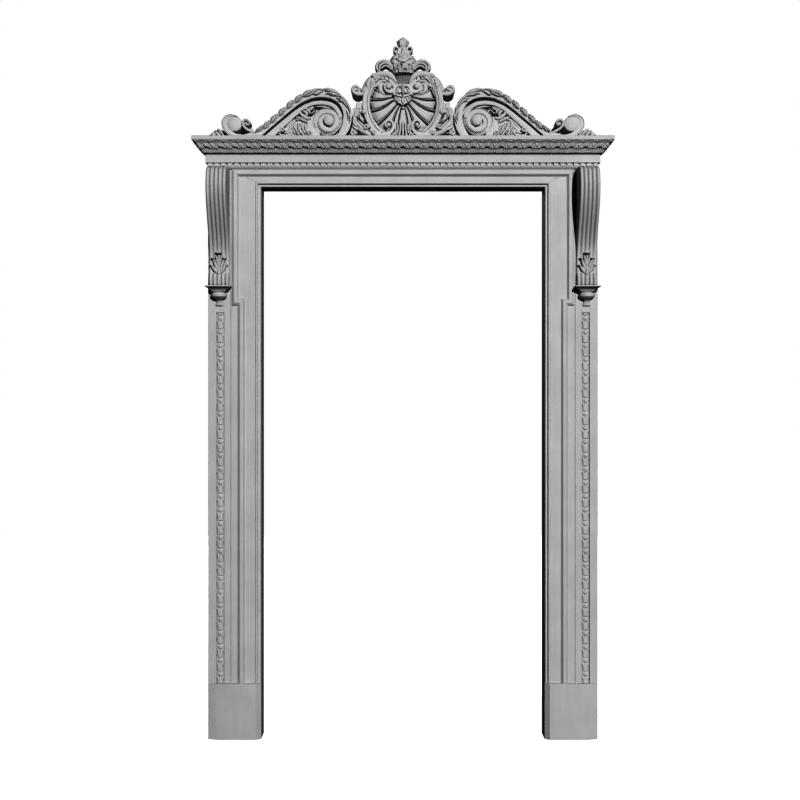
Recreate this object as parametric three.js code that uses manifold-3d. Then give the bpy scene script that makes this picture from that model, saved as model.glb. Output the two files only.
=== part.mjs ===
// Carved door surround: plinths, pilasters with a sunk band of husks, an eared architrave, reeded consoles,
// a dentilled entablature and a scroll pediment with a shell cartouche and a finial.
// Millimetres. X runs to the right along the wall, Y into the wall and Z up. Pieces are drawn from the floor
// up and out from the wall, and the last lines set the origin on the back of the head, on the centreline.
import * as THREE from 'three';
import { mergeVertices } from 'three/addons/utils/BufferGeometryUtils.js';
import Module from 'manifold-3d';

const wasm = await Module();
wasm.setup();

// Joints between pieces stay open by this much
const seam = 0.3;

// Facets of the carving that differ by less than this are one facet
const carvingTolerance = 1;

// Doorway
const openingWidth = 1134;
const openingHeight = 2208;

// Flat boards: how far their faces stand out from the wall, and the arris taken off at their joint
const boardDepth = 105;
const jointArris = 1.5;

// Inner mouldings of the architrave, counted outwards from the opening
const revealDepth = 87;
const quarterRoundWidth = 6;
const innerFilletWidth = 7;
const innerFilletDepth = 99;
const beadWidth = 10.5;
const beadDepth = 109;

// Flats and backband of the architrave
const jambFlatWidth = 39.5;
const headFlatWidth = 18;
const ogeeWidth = 12;
const backbandTopWidth = 8;
const backbandSlopeWidth = 4;
const backbandEdgeWidth = 6;
const backbandDepth = 116;
const backbandEdgeDepth = 109;
const backbandRoot = 20;

// Ears: how far the backband steps out, how far below the head it turns, and the margin beside it
const earProjection = 24;
const earDrop = 442.5;
const earMargin = 4.7;

// Plinths
const plinthHeight = 224.5;
const plinthDepth = 116;
const plinthOuterBevelWidth = 43;
const plinthOuterBevelDepth = 11.5;
const plinthInnerBevelWidth = 19.6;
const plinthInnerBevelDepth = 15;

// Pilasters and their carved band
const pilasterWidth = 89.8;
const bandWidth = 37.5;
const bandSink = 9;
const bandTopMargin = 27;
const huskPitch = 54.8;
const huskWidth = 33;
const huskNeckWidth = 15;
const huskRise = 8;

// Consoles
const consoleWidth = 82;
const consoleHeight = 468;
const consoleDepth = 120;
const consoleTopDepth = 76;
const consoleWaistDepth = 11;
const consoleRollHeight = 51;
const consoleRollDepth = 24;
const reedCount = 5;
const reedRise = 7;
const acanthusHeight = 92;
const acanthusWidth = 62;
const acanthusRise = 16;

// Turned drops under the consoles
const abacusWidth = 98;
const abacusThickness = 5;
const abacusCymaHeight = 17;
const bulbDiameter = 65;
const bulbHeight = 34;
const dropNeckDiameter = 23;
const dropFootDiameter = 34;
const dropFootHeight = 21;

// Dentil course
const bedHeight = 6.2;
const bedDepth = 110;
const dentilRailHeight = 4.5;
const dentilHeight = 12.5;
const dentilDepth = 118;
const dentilSlotDepth = 9;
const dentilSlotWidth = 9;
const dentilPitch = 26.6;

// Frieze board
const friezeOverhang = 8;
const friezeHeight = 37;
const friezeCavettoHeight = 13;
const friezeCavettoWidth = 2.5;

// Cornice, whose offsets run out from the frieze face
const corniceSoffit = 7.2;
const ovoloHeight = 14;
const ovoloWidth = 9.3;
const corniceStep = 7.1;
const cymaHeight = 32;
const cymaWidth = 24.5;
const corniceTopHeight = 16.3;

// Pediment scrolls, placed from the centreline and from the top of the cornice
const scrollDepth = 95;
const scrollWebDepth = 50;
const volute = { x: 295.5, z: 76, radius: 69 };
const scrollBandWidth = 38;
const innerBandWidth = 16;
const outerCurl = { x: 687.8, z: 62.4, radius: 41.3 };
const leafCurl = { x: 629, z: 59, radius: 22 };
const garlandLeafCount = 7;

// Cartouche, placed from the centreline and from the top of the cornice
const cartouche = { z: 143.3, radius: 164 };
const cartoucheReach = 202;
const shoulderTop = 272;
const ringWidth = 32;
const ringDepth = 95;
const cartoucheWebDepth = 55;
const shellHinge = 26;

// Shell ribs: one in the middle and some at each side, which lean by these angles in degrees
const sideRibCount = 4;
const firstRibLean = 29.4;
const ribPitch = 20.2;

const topVolute = { x: 57, z: 213.4, radius: 31 };
const finialSeat = { width: 48, z: 222.6 };

// Finial, turned and carved on an oval plan
const finialFlatten = 0.8;
const finialStandOff = 57;
const finialNeckHeight = 36;
const finialBasketHeight = 48;
const finialDomeHeight = 33;
const finialCollarHeight = 33;
const finialBudHeight = 39;
const finialBasketDiameter = 110;

// Heights and widths that follow
const halfOpening = openingWidth / 2;
const innerMouldingWidth = quarterRoundWidth + innerFilletWidth + beadWidth;
const backbandWidth = ogeeWidth + backbandTopWidth + backbandSlopeWidth + backbandEdgeWidth;
const jambEdge = halfOpening + innerMouldingWidth + jambFlatWidth + backbandWidth + earProjection + earMargin;
const headFlatTop = openingHeight + innerMouldingWidth + headFlatWidth;
const headTop = headFlatTop + backbandWidth;
const pilasterInner = jambEdge + seam;
const pilasterOuter = pilasterInner + pilasterWidth;
const pilasterAxis = pilasterInner + pilasterWidth / 2;
const courseBottom = headTop + seam;
const dentilBottom = courseBottom + bedHeight + dentilRailHeight;
const courseTop = dentilBottom + dentilHeight;
const friezeBottom = courseTop + seam;
const friezeTop = friezeBottom + friezeHeight;
const corniceBottom = friezeTop + seam;
const corniceTop = corniceBottom + ovoloHeight + cymaHeight + corniceTopHeight;
const consoleTop = courseBottom - seam;
const consoleBottom = consoleTop - consoleHeight;
const dropTop = consoleBottom - seam;
const dropBottom = dropTop - abacusThickness - abacusCymaHeight - bulbHeight - dropFootHeight;
const bandTop = dropBottom - bandTopMargin;
const pedimentBase = corniceTop + seam;

const paint = new THREE.MeshStandardMaterial({ color: 0xa8a8a8, roughness: 0.7, metalness: 0 });
const surround = new THREE.Group();

/** A point by its place along the wall, its distance out from the wall and its height. */
const at = (x, out, z) => new THREE.Vector3(x, -out, z);

/** Values from a to b in equal steps, both ends included. */
const spread = (a, b, steps) => Array.from({ length: steps + 1 }, (_, i) => a + (b - a) * i / steps);

/** Closed solid from any closed geometry: coinciding corners are merged and collapsed faces dropped. */
function toSolid(geometry) {
  const bare = geometry.clone();
  bare.deleteAttribute('normal');
  bare.deleteAttribute('uv');
  const merged = mergeVertices(bare, 1e-3);
  const points = merged.attributes.position;
  const corner = (i) => new THREE.Vector3().fromBufferAttribute(points, i);
  const faces = [];
  let volume = 0;
  for (let i = 0; i < merged.index.count; i += 3) {
    const [a, b, c] = [0, 1, 2].map((k) => merged.index.getX(i + k));
    if (a === b || b === c || c === a) continue;
    faces.push([a, b, c]);
    volume += corner(a).dot(corner(b).cross(corner(c)));
  }
  const outward = volume < 0 ? faces.map(([a, b, c]) => [a, c, b]) : faces;
  const mesh = new wasm.Mesh({
    numProp: 3,
    vertProperties: new Float32Array(points.array),
    triVerts: new Uint32Array(outward.flat()),
  });
  return new wasm.Manifold(mesh);
}

/** Triangles that close a ring of points, in the ring's own order. */
function capFaces(ring) {
  const normal = new THREE.Vector3();
  ring.forEach((p, i) => normal.add(new THREE.Vector3().crossVectors(p, ring[(i + 1) % ring.length])));
  const size = ['x', 'y', 'z'].map((axis) => [axis, Math.abs(normal[axis])]);
  const dropped = size.sort((a, b) => b[1] - a[1])[0][0];
  const [u, v] = ['x', 'y', 'z'].filter((axis) => axis !== dropped);
  const outline = ring.map((p) => new THREE.Vector2(p[u], p[v]));
  const turn = Math.sign(THREE.ShapeUtils.area(outline));
  return THREE.ShapeUtils.triangulateShape(outline, []).map(([a, b, c]) => {
    const area = THREE.ShapeUtils.area([outline[a], outline[b], outline[c]]);
    return Math.sign(area) === turn ? [a, b, c] : [a, c, b];
  });
}

/** Solid with a skin stretched from ring to ring and closed over the first and the last. */
function skin(rings) {
  const count = rings[0].length;
  const last = (rings.length - 1) * count;
  const faces = capFaces(rings[0]).map(([a, b, c]) => [c, b, a]);
  capFaces(rings.at(-1)).forEach((face) => faces.push(face.map((k) => k + last)));
  for (let start = 0; start < last; start += count) {
    for (let k = 0; k < count; k += 1) {
      const a = start + k;
      const b = start + (k + 1) % count;
      faces.push([a, b, b + count], [a, b + count, a + count]);
    }
  }
  const geometry = new THREE.BufferGeometry().setFromPoints(rings.flat());
  geometry.setIndex(faces.flat());
  return toSolid(geometry);
}

/** Board cut to an outline of [x, z] points and reaching between two distances from the wall. */
const board = (outline, from, to) => skin([from, to].map((out) => outline.map(([x, z]) => at(x, out, z))));

/** Board cut to an outline of [x, out] points and reaching between two heights. */
const post = (outline, low, high) => skin([low, high].map((z) => outline.map(([x, out]) => at(x, out, z))));

/** Rail cut to an outline of [out, z] points and reaching between two places along the wall. */
const rail = (outline, from, to) => skin([from, to].map((x) => outline.map(([out, z]) => at(x, out, z))));

/** Block that stands on the wall and returns to it at both ends; each level is [half width, out, z]. */
const returned = (levels) => skin(levels.map(([half, out, z]) => (
  [at(-half, 0, z), at(half, 0, z), at(half, out, z), at(-half, out, z)]
)));

const joined = (solids) => solids.reduce((whole, solid) => whole.add(solid));

/** Moulding carried along a mitred path of [x, z] corners; its profile is [to the right of the path, out]. */
function moulding(path, profile) {
  const step = (a, b) => new THREE.Vector2(b[0] - a[0], b[1] - a[1]).normalize();
  const rings = path.map((corner, i) => {
    const before = step(path[Math.max(i - 1, 0)], path[Math.max(i, 1)]);
    const after = step(path[Math.min(i, path.length - 2)], path[Math.min(i + 1, path.length - 1)]);
    const mitre = before.clone().add(after).divideScalar(1 + before.dot(after));
    return profile.map(([right, out]) => at(corner[0] + right * mitre.y, out, corner[1] - right * mitre.x));
  });
  return skin(rings);
}

/** Smooth curve on the front through [x, z] points. */
const through = (points) => new THREE.SplineCurve(points.map(([x, z]) => new THREE.Vector2(x, z)));

/** Ribbon that follows a curve on the front, ridged along its middle, with upright flanks down to its foot. */
function ribbon(curve, widths, steps, foot, crown, shoulder) {
  const rings = spread(0, 1, steps).map((t) => {
    const centre = curve.getPoint(t);
    const along = curve.getTangent(t);
    const half = THREE.MathUtils.lerp(widths[0], widths[1], t) / 2;
    const side = (w, out) => at(centre.x - along.y * w, out, centre.y + along.x * w);
    return [side(-half, foot), side(-half, shoulder), side(0, crown), side(half, shoulder), side(half, foot)];
  });
  return skin(rings);
}

/** Points of a spiral about a centre; angles in degrees, the radius changes evenly with the angle. */
const spiral = (centre, startRadius, endRadius, startAngle, endAngle, steps) => (
  spread(0, 1, steps).map((t) => {
    const angle = THREE.MathUtils.degToRad(THREE.MathUtils.lerp(startAngle, endAngle, t));
    const radius = THREE.MathUtils.lerp(startRadius, endRadius, t);
    return [centre.x + radius * Math.cos(angle), centre.z + radius * Math.sin(angle)];
  })
);

/** Round boss with a domed face. */
function boss(centre, radius, foot, crown, sides = 16) {
  const circle = (scale, out) => spread(0, 2 * Math.PI, sides).slice(1).map((angle) => (
    at(centre.x + scale * radius * Math.cos(angle), out, centre.z + scale * radius * Math.sin(angle))
  ));
  const rise = (crown - foot) * 0.25;
  return skin([circle(1, foot), circle(1, crown - rise), circle(0.55, crown)]);
}

/** Pointed leaf on the front, from its stem towards an angle in degrees, with a ridge along its middle. */
function leaf(stem, length, width, angle, foot, crown) {
  const along = new THREE.Vector2(1, 0).rotateAround(new THREE.Vector2(), THREE.MathUtils.degToRad(angle));
  const place = ([t, w], out) => at(
    stem.x + along.x * t * length - along.y * w * width,
    out,
    stem.z + along.y * t * length + along.x * w * width,
  );
  const edge = [[0, 0], [0.55, -0.5], [1, 0], [0.55, 0.5]];
  const ridge = [[0.1, 0], [0.55, -0.14], [0.84, 0], [0.55, 0.14]];
  return skin([edge.map((p) => place(p, foot)), ridge.map((p) => place(p, crown))]);
}

function addPiece(name, solid) {
  const { vertProperties, triVerts } = solid.getMesh();
  const geometry = new THREE.BufferGeometry();
  geometry.setAttribute('position', new THREE.BufferAttribute(vertProperties, 3));
  geometry.setIndex(new THREE.BufferAttribute(triVerts, 1));
  geometry.computeVertexNormals();
  const mesh = new THREE.Mesh(geometry, paint);
  mesh.name = name;
  surround.add(mesh);
}

/** The same piece on the other side of the centreline. */
function mirrored(solid) {
  const { vertProperties, triVerts } = solid.getMesh();
  const geometry = new THREE.BufferGeometry();
  geometry.setAttribute('position', new THREE.BufferAttribute(vertProperties.slice(), 3));
  geometry.setIndex(new THREE.BufferAttribute(triVerts, 1));
  geometry.scale(-1, 1, 1);
  return toSolid(geometry);
}

function addPair(name, right) {
  addPiece(`${name}_right`, right);
  addPiece(`${name}_left`, mirrored(right));
}

// Plinths: blocks with a wide bevel outside and a steeper one beside the opening
function plinth() {
  return post([
    [halfOpening, 0],
    [halfOpening, plinthDepth - plinthInnerBevelDepth],
    [halfOpening + plinthInnerBevelWidth, plinthDepth],
    [pilasterOuter - plinthOuterBevelWidth, plinthDepth],
    [pilasterOuter, plinthDepth - plinthOuterBevelDepth],
    [pilasterOuter, 0],
  ], 0, plinthHeight);
}

// String of husks: a ridge that widens at the head of each husk and narrows to its neck
function husks(low, high, axis, floor) {
  const count = Math.round((high - low) / huskPitch);
  const pitch = (high - low) / count;
  const beats = [[0.1, huskNeckWidth], [0.64, huskWidth]];
  const rings = spread(0, count - 1, count - 1).flatMap((husk) => beats.map(([share, width]) => {
    const z = low + pitch * (husk + share);
    const crown = floor + huskRise * (width > huskNeckWidth ? 1 : 0.6);
    return [at(axis - width / 2, floor - 1, z), at(axis, crown, z), at(axis + width / 2, floor - 1, z)];
  }));
  return skin(rings);
}

// Pilasters: plain boards with the band sunk into the lower part
function pilaster() {
  const foot = plinthHeight + seam;
  const floor = boardDepth - bandSink;
  const shaft = post([
    [pilasterInner, 0],
    [pilasterInner, boardDepth - jointArris],
    [pilasterInner + jointArris, boardDepth],
    [pilasterOuter, boardDepth],
    [pilasterOuter, 0],
  ], foot, headTop);
  const sides = [pilasterAxis - bandWidth / 2, pilasterAxis + bandWidth / 2];
  const sink = board([
    [sides[0], foot - 1],
    [sides[1], foot - 1],
    [sides[1], bandTop],
    [sides[0], bandTop],
  ], floor, boardDepth + 1);
  return shaft.subtract(sink).add(husks(foot, bandTop, pilasterAxis, floor));
}

// Section of the mouldings beside the opening, as [from the opening, out]
function innerMouldings() {
  const fillet = quarterRoundWidth + innerFilletWidth;
  const quarter = [0, 30, 60, 90].map((degrees) => {
    const angle = THREE.MathUtils.degToRad(degrees);
    return [
      quarterRoundWidth * (1 - Math.cos(angle)),
      revealDepth + (innerFilletDepth - revealDepth) * Math.sin(angle),
    ];
  });
  const beadFlank = (beadDepth + boardDepth) / 2;
  return [
    ...quarter,
    [fillet, innerFilletDepth],
    [fillet, beadFlank],
    [fillet + beadWidth * 0.3, beadDepth],
    [fillet + beadWidth * 0.7, beadDepth],
    [innerMouldingWidth, beadFlank],
    [innerMouldingWidth, boardDepth],
  ];
}

// Section of the backband, as [from its inner edge, out]
function backband() {
  const rise = backbandDepth - boardDepth;
  const top = ogeeWidth + backbandTopWidth;
  return [
    [0, boardDepth - backbandRoot],
    [0, boardDepth],
    [ogeeWidth * 0.3, boardDepth + rise * 0.16],
    [ogeeWidth * 0.7, boardDepth + rise * 0.84],
    [ogeeWidth, backbandDepth],
    [top, backbandDepth],
    [top + backbandSlopeWidth, backbandEdgeDepth],
    [backbandWidth, backbandEdgeDepth],
    [backbandWidth, boardDepth - backbandRoot],
  ];
}

// The mitre between jamb and head on the right, from the opening outwards
function mitreLine() {
  const flat = halfOpening + innerMouldingWidth;
  const ear = flat + jambFlatWidth + earProjection;
  return [
    [halfOpening, openingHeight],
    [flat, openingHeight + innerMouldingWidth],
    [ear, headFlatTop],
    [ear + backbandWidth, headTop],
  ];
}

function jamb() {
  const foot = plinthHeight + seam;
  const flank = post([
    [halfOpening, 0],
    ...innerMouldings().map(([u, out]) => [halfOpening + u, out]),
    [jambEdge - jointArris, boardDepth],
    [jambEdge, boardDepth - jointArris],
    [jambEdge, 0],
  ], foot, headTop);
  const line = halfOpening + innerMouldingWidth + jambFlatWidth;
  const turn = openingHeight - earDrop;
  const band = moulding(
    [[line, foot], [line, turn], [line + earProjection, turn], [line + earProjection, headTop]],
    backband(),
  );
  const spare = backbandWidth;
  const shifted = mitreLine().map(([x, z]) => [x + seam, z - seam]);
  const [first, last] = [shifted[0], shifted.at(-1)];
  const head = board([
    [first[0] - spare, first[1] - spare],
    ...shifted,
    [last[0] + spare, last[1] + spare],
    [first[0] - spare, last[1] + spare],
  ], -1, backbandDepth + 1);
  return flank.add(band).subtract(head);
}

function head() {
  const reach = mitreLine().at(-1)[0];
  const flat = rail([
    [0, openingHeight],
    ...innerMouldings().map(([u, out]) => [out, openingHeight + u]),
    [boardDepth, headTop],
    [0, headTop],
  ], -reach, reach);
  const band = rail(backband().map(([u, out]) => [out, headFlatTop + u]), -reach, reach);
  const right = mitreLine();
  const left = right.map(([x, z]) => [-x, z]).reverse();
  return flat.add(band).intersect(board([...right, ...left], -1, backbandDepth + 1));
}

// Side profile of a console: how far its front stands out from the pilaster at each height
function consoleFront() {
  const rollTop = consoleRollHeight;
  const shoulder = consoleHeight;
  const curve = new THREE.SplineCurve([
    new THREE.Vector2(consoleWaistDepth, rollTop),
    new THREE.Vector2(consoleWaistDepth + 2, rollTop + 0.16 * (shoulder - rollTop)),
    new THREE.Vector2(consoleDepth * 0.34, shoulder * 0.45),
    new THREE.Vector2(consoleDepth * 0.78, shoulder * 0.64),
    new THREE.Vector2(consoleDepth * 0.97, shoulder * 0.77),
    new THREE.Vector2(consoleDepth, shoulder * 0.845),
    new THREE.Vector2(consoleDepth * 0.95, shoulder * 0.93),
    new THREE.Vector2(consoleTopDepth, shoulder),
  ]);
  const roll = [0, 45, 90, 135].map((degrees) => {
    const angle = THREE.MathUtils.degToRad(degrees);
    const rise = (consoleRollDepth - consoleWaistDepth) * Math.sin(angle) ** 0.5;
    return [consoleWaistDepth + rise, consoleRollHeight * (1 - Math.cos(angle)) / 2];
  });
  return [...roll, ...curve.getPoints(8).map((p) => [p.x, p.y])];
}

// Reeded section across a console: [from its axis, share of the reed's rise]
function reeds() {
  const pitch = consoleWidth / reedCount;
  return spread(0, reedCount - 1, reedCount - 1).flatMap((reed) => {
    const start = reed * pitch - consoleWidth / 2;
    return [[start, 0], [start + pitch / 2, 1]];
  }).concat([[consoleWidth / 2, 0]]);
}

function acanthus(base, front) {
  const stem = (share) => ({ x: pilasterAxis, z: base + acanthusHeight * share });
  const tiers = [[0, 0.5, 40], [0.28, 0.42, 46]];
  const root = boardDepth + 2 * seam;
  const lobes = tiers.flatMap(([share, reach, lean]) => [-1, 1].map((side) => (
    leaf(stem(share), acanthusWidth * reach * 1.5, acanthusWidth * 0.36, 90 - side * lean, root, front + acanthusRise)
  )));
  const spine = leaf(stem(0), acanthusHeight, acanthusWidth * 0.34, 90, root, front + acanthusRise * 1.1);
  return joined([spine, ...lobes]);
}

function bracket() {
  const face = boardDepth + seam;
  const rings = consoleFront().map(([depth, z]) => [
    at(pilasterAxis - consoleWidth / 2, face, consoleBottom + z),
    ...reeds().map(([x, rise]) => at(
      pilasterAxis + x,
      boardDepth + Math.max(depth - (1 - rise) * Math.min(reedRise, depth * 0.5), 2 * seam),
      consoleBottom + z,
    )),
    at(pilasterAxis + consoleWidth / 2, face, consoleBottom + z),
  ]);
  return skin(rings).add(acanthus(consoleBottom + consoleRollHeight, boardDepth + consoleWaistDepth));
}

// Turned drop: a square abacus with a cyma under it, and a round bulb, neck and foot cut flat at the back
function drop() {
  const square = (width, z) => [-1, 1].flatMap((x) => (x < 0 ? [0, 1] : [1, 0]).map((front) => at(
    pilasterAxis + x * width / 2,
    boardDepth + seam + front * width * 0.62,
    z,
  )));
  const cymaBottom = dropTop - abacusThickness - abacusCymaHeight;
  const abacus = skin([
    square(abacusWidth, dropTop),
    square(abacusWidth, dropTop - abacusThickness),
    square(abacusWidth * 0.78, dropTop - abacusThickness - abacusCymaHeight * 0.35),
    square(abacusWidth * 0.62, dropTop - abacusThickness - abacusCymaHeight * 0.6),
    square(abacusWidth * 0.56, cymaBottom - 1),
  ]);
  const bulb = [0.06, 0.25, 0.5, 0.78, 1].map((share) => {
    const across = 2 * share - 1;
    return [bulbDiameter / 2 * Math.sqrt(Math.max(1 - across * across, 0.12)), cymaBottom - bulbHeight * share];
  });
  const profile = [
    [dropNeckDiameter, cymaBottom],
    ...bulb,
    [dropNeckDiameter / 2, cymaBottom - bulbHeight - dropFootHeight * 0.35],
    [dropFootDiameter / 2, dropBottom + 3],
    [dropFootDiameter / 2, dropBottom],
  ];
  const closedProfile = [[0, cymaBottom], ...profile, [0, dropBottom]].map(([r, z]) => new THREE.Vector2(r, z));
  const turned = new THREE.LatheGeometry(closedProfile, 10);
  turned.rotateX(Math.PI / 2);
  turned.translate(pilasterAxis, -(boardDepth + seam + dropFootDiameter * 0.4), 0);
  const wall = board([
    [pilasterInner - abacusWidth, dropBottom - 1],
    [pilasterOuter + abacusWidth, dropBottom - 1],
    [pilasterOuter + abacusWidth, dropTop + 1],
    [pilasterInner - abacusWidth, dropTop + 1],
  ], -1, boardDepth + seam);
  return abacus.add(toSolid(turned)).subtract(wall);
}

// Plan of the toothed layer, as [x, out]: slots along the front and both returns
function dentilPlan() {
  const front = 2 * pilasterOuter;
  const slots = Math.round((front - dentilPitch + dentilSlotWidth) / dentilPitch);
  const pitch = (front + dentilSlotWidth) / (slots + 1);
  const tooth = pitch - dentilSlotWidth;
  const floor = dentilDepth - dentilSlotDepth;
  const alongFront = spread(0, slots - 1, slots - 1).flatMap((slot) => {
    const start = -pilasterOuter + tooth + slot * pitch;
    return [[start, dentilDepth], [start, floor], [start + dentilSlotWidth, floor], [start + dentilSlotWidth, dentilDepth]];
  });
  const returnSlots = Math.floor((dentilDepth - tooth) / pitch);
  const alongReturn = (side) => spread(0, returnSlots - 1, returnSlots - 1).flatMap((slot) => {
    const start = dentilDepth - tooth - slot * pitch;
    const inner = side * (pilasterOuter - dentilSlotDepth);
    const outer = side * pilasterOuter;
    return [[outer, start], [inner, start], [inner, start - dentilSlotWidth], [outer, start - dentilSlotWidth]];
  });
  return [
    [-pilasterOuter, 0],
    ...alongReturn(-1).reverse(),
    [-pilasterOuter, dentilDepth],
    ...alongFront,
    [pilasterOuter, dentilDepth],
    ...alongReturn(1),
    [pilasterOuter, 0],
  ];
}

function dentilCourse() {
  const bed = returned([
    [pilasterOuter, bedDepth, courseBottom],
    [pilasterOuter, dentilDepth, courseBottom + bedHeight],
    [pilasterOuter, dentilDepth, dentilBottom],
  ]);
  return bed.add(post(dentilPlan(), dentilBottom - 0.01, courseTop));
}

const friezeHalf = pilasterOuter + friezeOverhang;
const friezeDepth = dentilDepth + friezeOverhang;

function frieze() {
  const flatTop = friezeTop - friezeCavettoHeight;
  const cavetto = [0.35, 0.7, 1].map((share) => {
    const width = friezeCavettoWidth * share ** 2;
    return [friezeHalf + width, friezeDepth + width, flatTop + friezeCavettoHeight * share];
  });
  return returned([
    [friezeHalf, friezeDepth, friezeBottom],
    [friezeHalf, friezeDepth, flatTop],
    ...cavetto,
  ]);
}

// Levels of the cornice as [offset from the frieze face, height over its underside]
function corniceLevels() {
  const step = corniceSoffit + ovoloWidth + corniceStep;
  const cyma = spread(0, 1, 4).map((t) => [
    step + cymaWidth * (t - 0.08 * Math.sin(2 * Math.PI * t)),
    ovoloHeight + 2 + (cymaHeight - 2) * t,
  ]);
  return [
    [corniceSoffit, 0],
    [corniceSoffit + ovoloWidth, ovoloHeight],
    [step, ovoloHeight],
    ...cyma,
    [step + cymaWidth, ovoloHeight + cymaHeight + corniceTopHeight],
  ];
}

function crown() {
  const levels = corniceLevels().map(([offset, z]) => [friezeHalf + offset, friezeDepth + offset, corniceBottom + z]);
  return returned(levels);
}

// One half of the pediment, drawn on the right of the centreline. Its free curves keep their proportions: they
// are given as shares of the volute's radius from the volute's centre, and the small curls as shares of theirs.
function scroll() {
  const unit = volute.radius;
  const traced = (points, round = volute) => points.map(([u, w]) => (
    [round.x + u * round.radius, pedimentBase + round.z + w * round.radius]
  ));
  const centre = (round) => ({ x: round.x, z: pedimentBase + round.z });
  const leaves = (list, round, foot, crown) => list.map(([u, w, length, width, angle]) => {
    const [[x, z]] = traced([[u, w]], round);
    return leaf({ x, z }, length * round.radius, width * round.radius, angle, foot, crown);
  });
  const bandCurve = through(traced([
    [3.98, -0.93],
    [3.4, -0.26],
    [1.95, 1.1],
    [1.04, 1.54],
    [0.2, 1.58],
    [-0.75, 1.04],
    [-1.1, 0.12],
    [-0.81, -1.04],
  ]));
  const band = ribbon(bandCurve, [scrollBandWidth, scrollBandWidth * 0.85], 14, 0, scrollDepth, scrollDepth - 9);
  const innerBand = through(traced([
    [3.36, -0.95],
    [2.31, 0.06],
    [1.42, 0.82],
    [0.5, 1.1],
    [-0.1, 0.96],
    [-0.6, 0.46],
    [-0.62, -0.23],
    [-0.36, -0.62],
    [0.1, -0.74],
    [0.56, -0.56],
    [0.84, -0.12],
    [0.82, 0.28],
    [0.5, 0.58],
    [0.04, 0.6],
    [-0.36, 0.36],
    [-0.46, -0.06],
    [-0.2, -0.4],
    [0.16, -0.46],
    [0.48, -0.22],
    [0.5, 0.12],
    [0.2, 0.34],
  ]));
  const root = scrollWebDepth - 5;
  const inner = ribbon(innerBand, [innerBandWidth, innerBandWidth * 0.6], 24, root, scrollDepth - 4, scrollDepth - 8);
  const eye = boss(centre(volute), unit * 0.26, scrollWebDepth, scrollDepth + 1, 8);
  const disc = boss(centre(volute), unit * 0.94, 0, scrollDepth - 14, 10);
  const sweep = ribbon(
    through([
      ...traced([[3.6, -0.98], [4.22, -0.84]]),
      ...traced([[-1.3, -1.24], [-0.5, -1.22], [0.06, -0.93], [0.5, -0.62], [0.78, -0.1], [0.73, 0.33]], outerCurl),
      ...traced([[0.46, 0.72], [0.04, 0.9], [-0.44, 0.84], [-0.8, 0.56], [-0.92, 0.14]], outerCurl),
    ]),
    [scrollBandWidth * 0.9, outerCurl.radius * 0.2],
    13,
    0,
    scrollDepth - 6,
    scrollDepth - 10,
  );
  const curlEye = boss({ x: outerCurl.x - outerCurl.radius * 0.15, z: centre(outerCurl).z + outerCurl.radius * 0.08 },
    outerCurl.radius * 0.68, scrollWebDepth - 5, scrollDepth - 3, 10);
  const leafRoll = boss(centre(leafCurl), leafCurl.radius, 0, scrollDepth - 6, 8);
  const leafStem = ribbon(
    through([...traced([[4.3, -0.86]]), ...traced([[-1, -1], [0.1, -0.75], [0.6, -0.2]], leafCurl)]),
    [leafCurl.radius * 0.7, leafCurl.radius * 0.6],
    4,
    0,
    scrollDepth,
    scrollDepth - 6,
  );
  const sill = board([
    ...traced([[0.6, -1.5], [0.8, -0.3], [0.6, 0.6], [-0.1, 0.85], [-0.8, 0.4], [-0.85, -0.3]], outerCurl),
    ...traced([[0, -0.6]], leafCurl),
    ...traced([[3.9, -0.6], [3.3, -1.1]]),
  ], 0, scrollWebDepth);
  const web = board(traced([[3.7, -1.07], [2.1, 0.61], [0.72, 1.31], [-0.58, 0.87], [-0.87, 0], [-0.67, -1.07]]),
    0, scrollWebDepth);
  const garland = spread(0, garlandLeafCount - 1, garlandLeafCount - 1).map((count) => {
    const t = (count + 0.4) / (garlandLeafCount + 1);
    const spot = bandCurve.getPointAt(t);
    const along = bandCurve.getTangentAt(t);
    const outside = scrollBandWidth * 0.24;
    const stem = { x: spot.x + along.y * outside, z: spot.y - along.x * outside };
    const angle = THREE.MathUtils.radToDeg(Math.atan2(along.y, along.x)) - 8;
    return leaf(stem, unit * 0.84, unit * 0.35, angle, scrollDepth - 20, scrollDepth + 5);
  });
  const foliage = leaves([
    [1.49, 0.29, 0.72, 0.41, 200],
    [1.8, -0.7, 0.75, 0.43, 60],
    [1.37, -0.96, 0.9, 0.46, 95],
  ], volute, scrollWebDepth - 4, scrollDepth - 8);
  const farLeaves = leaves([[0.2, -1.03, 1.84, 0.48, 16], [0.2, -1.22, 2.32, 0.39, 4]], outerCurl, 30, scrollWebDepth);
  const trim = cartoucheReach + seam;
  const top = pedimentBase + volute.z + 3 * unit;
  const far = 2 * outerCurl.x;
  const sawn = board([[0, 0], [far, 0], [far, pedimentBase], [trim, pedimentBase], [trim, top], [0, top]],
    -1, scrollDepth + 20);
  const parts = [band, inner, disc, eye, sweep, curlEye, leafRoll, leafStem, sill, web];
  return joined([...parts, ...garland, ...foliage, ...farLeaves]).subtract(sawn).simplify(carvingTolerance);
}

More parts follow.
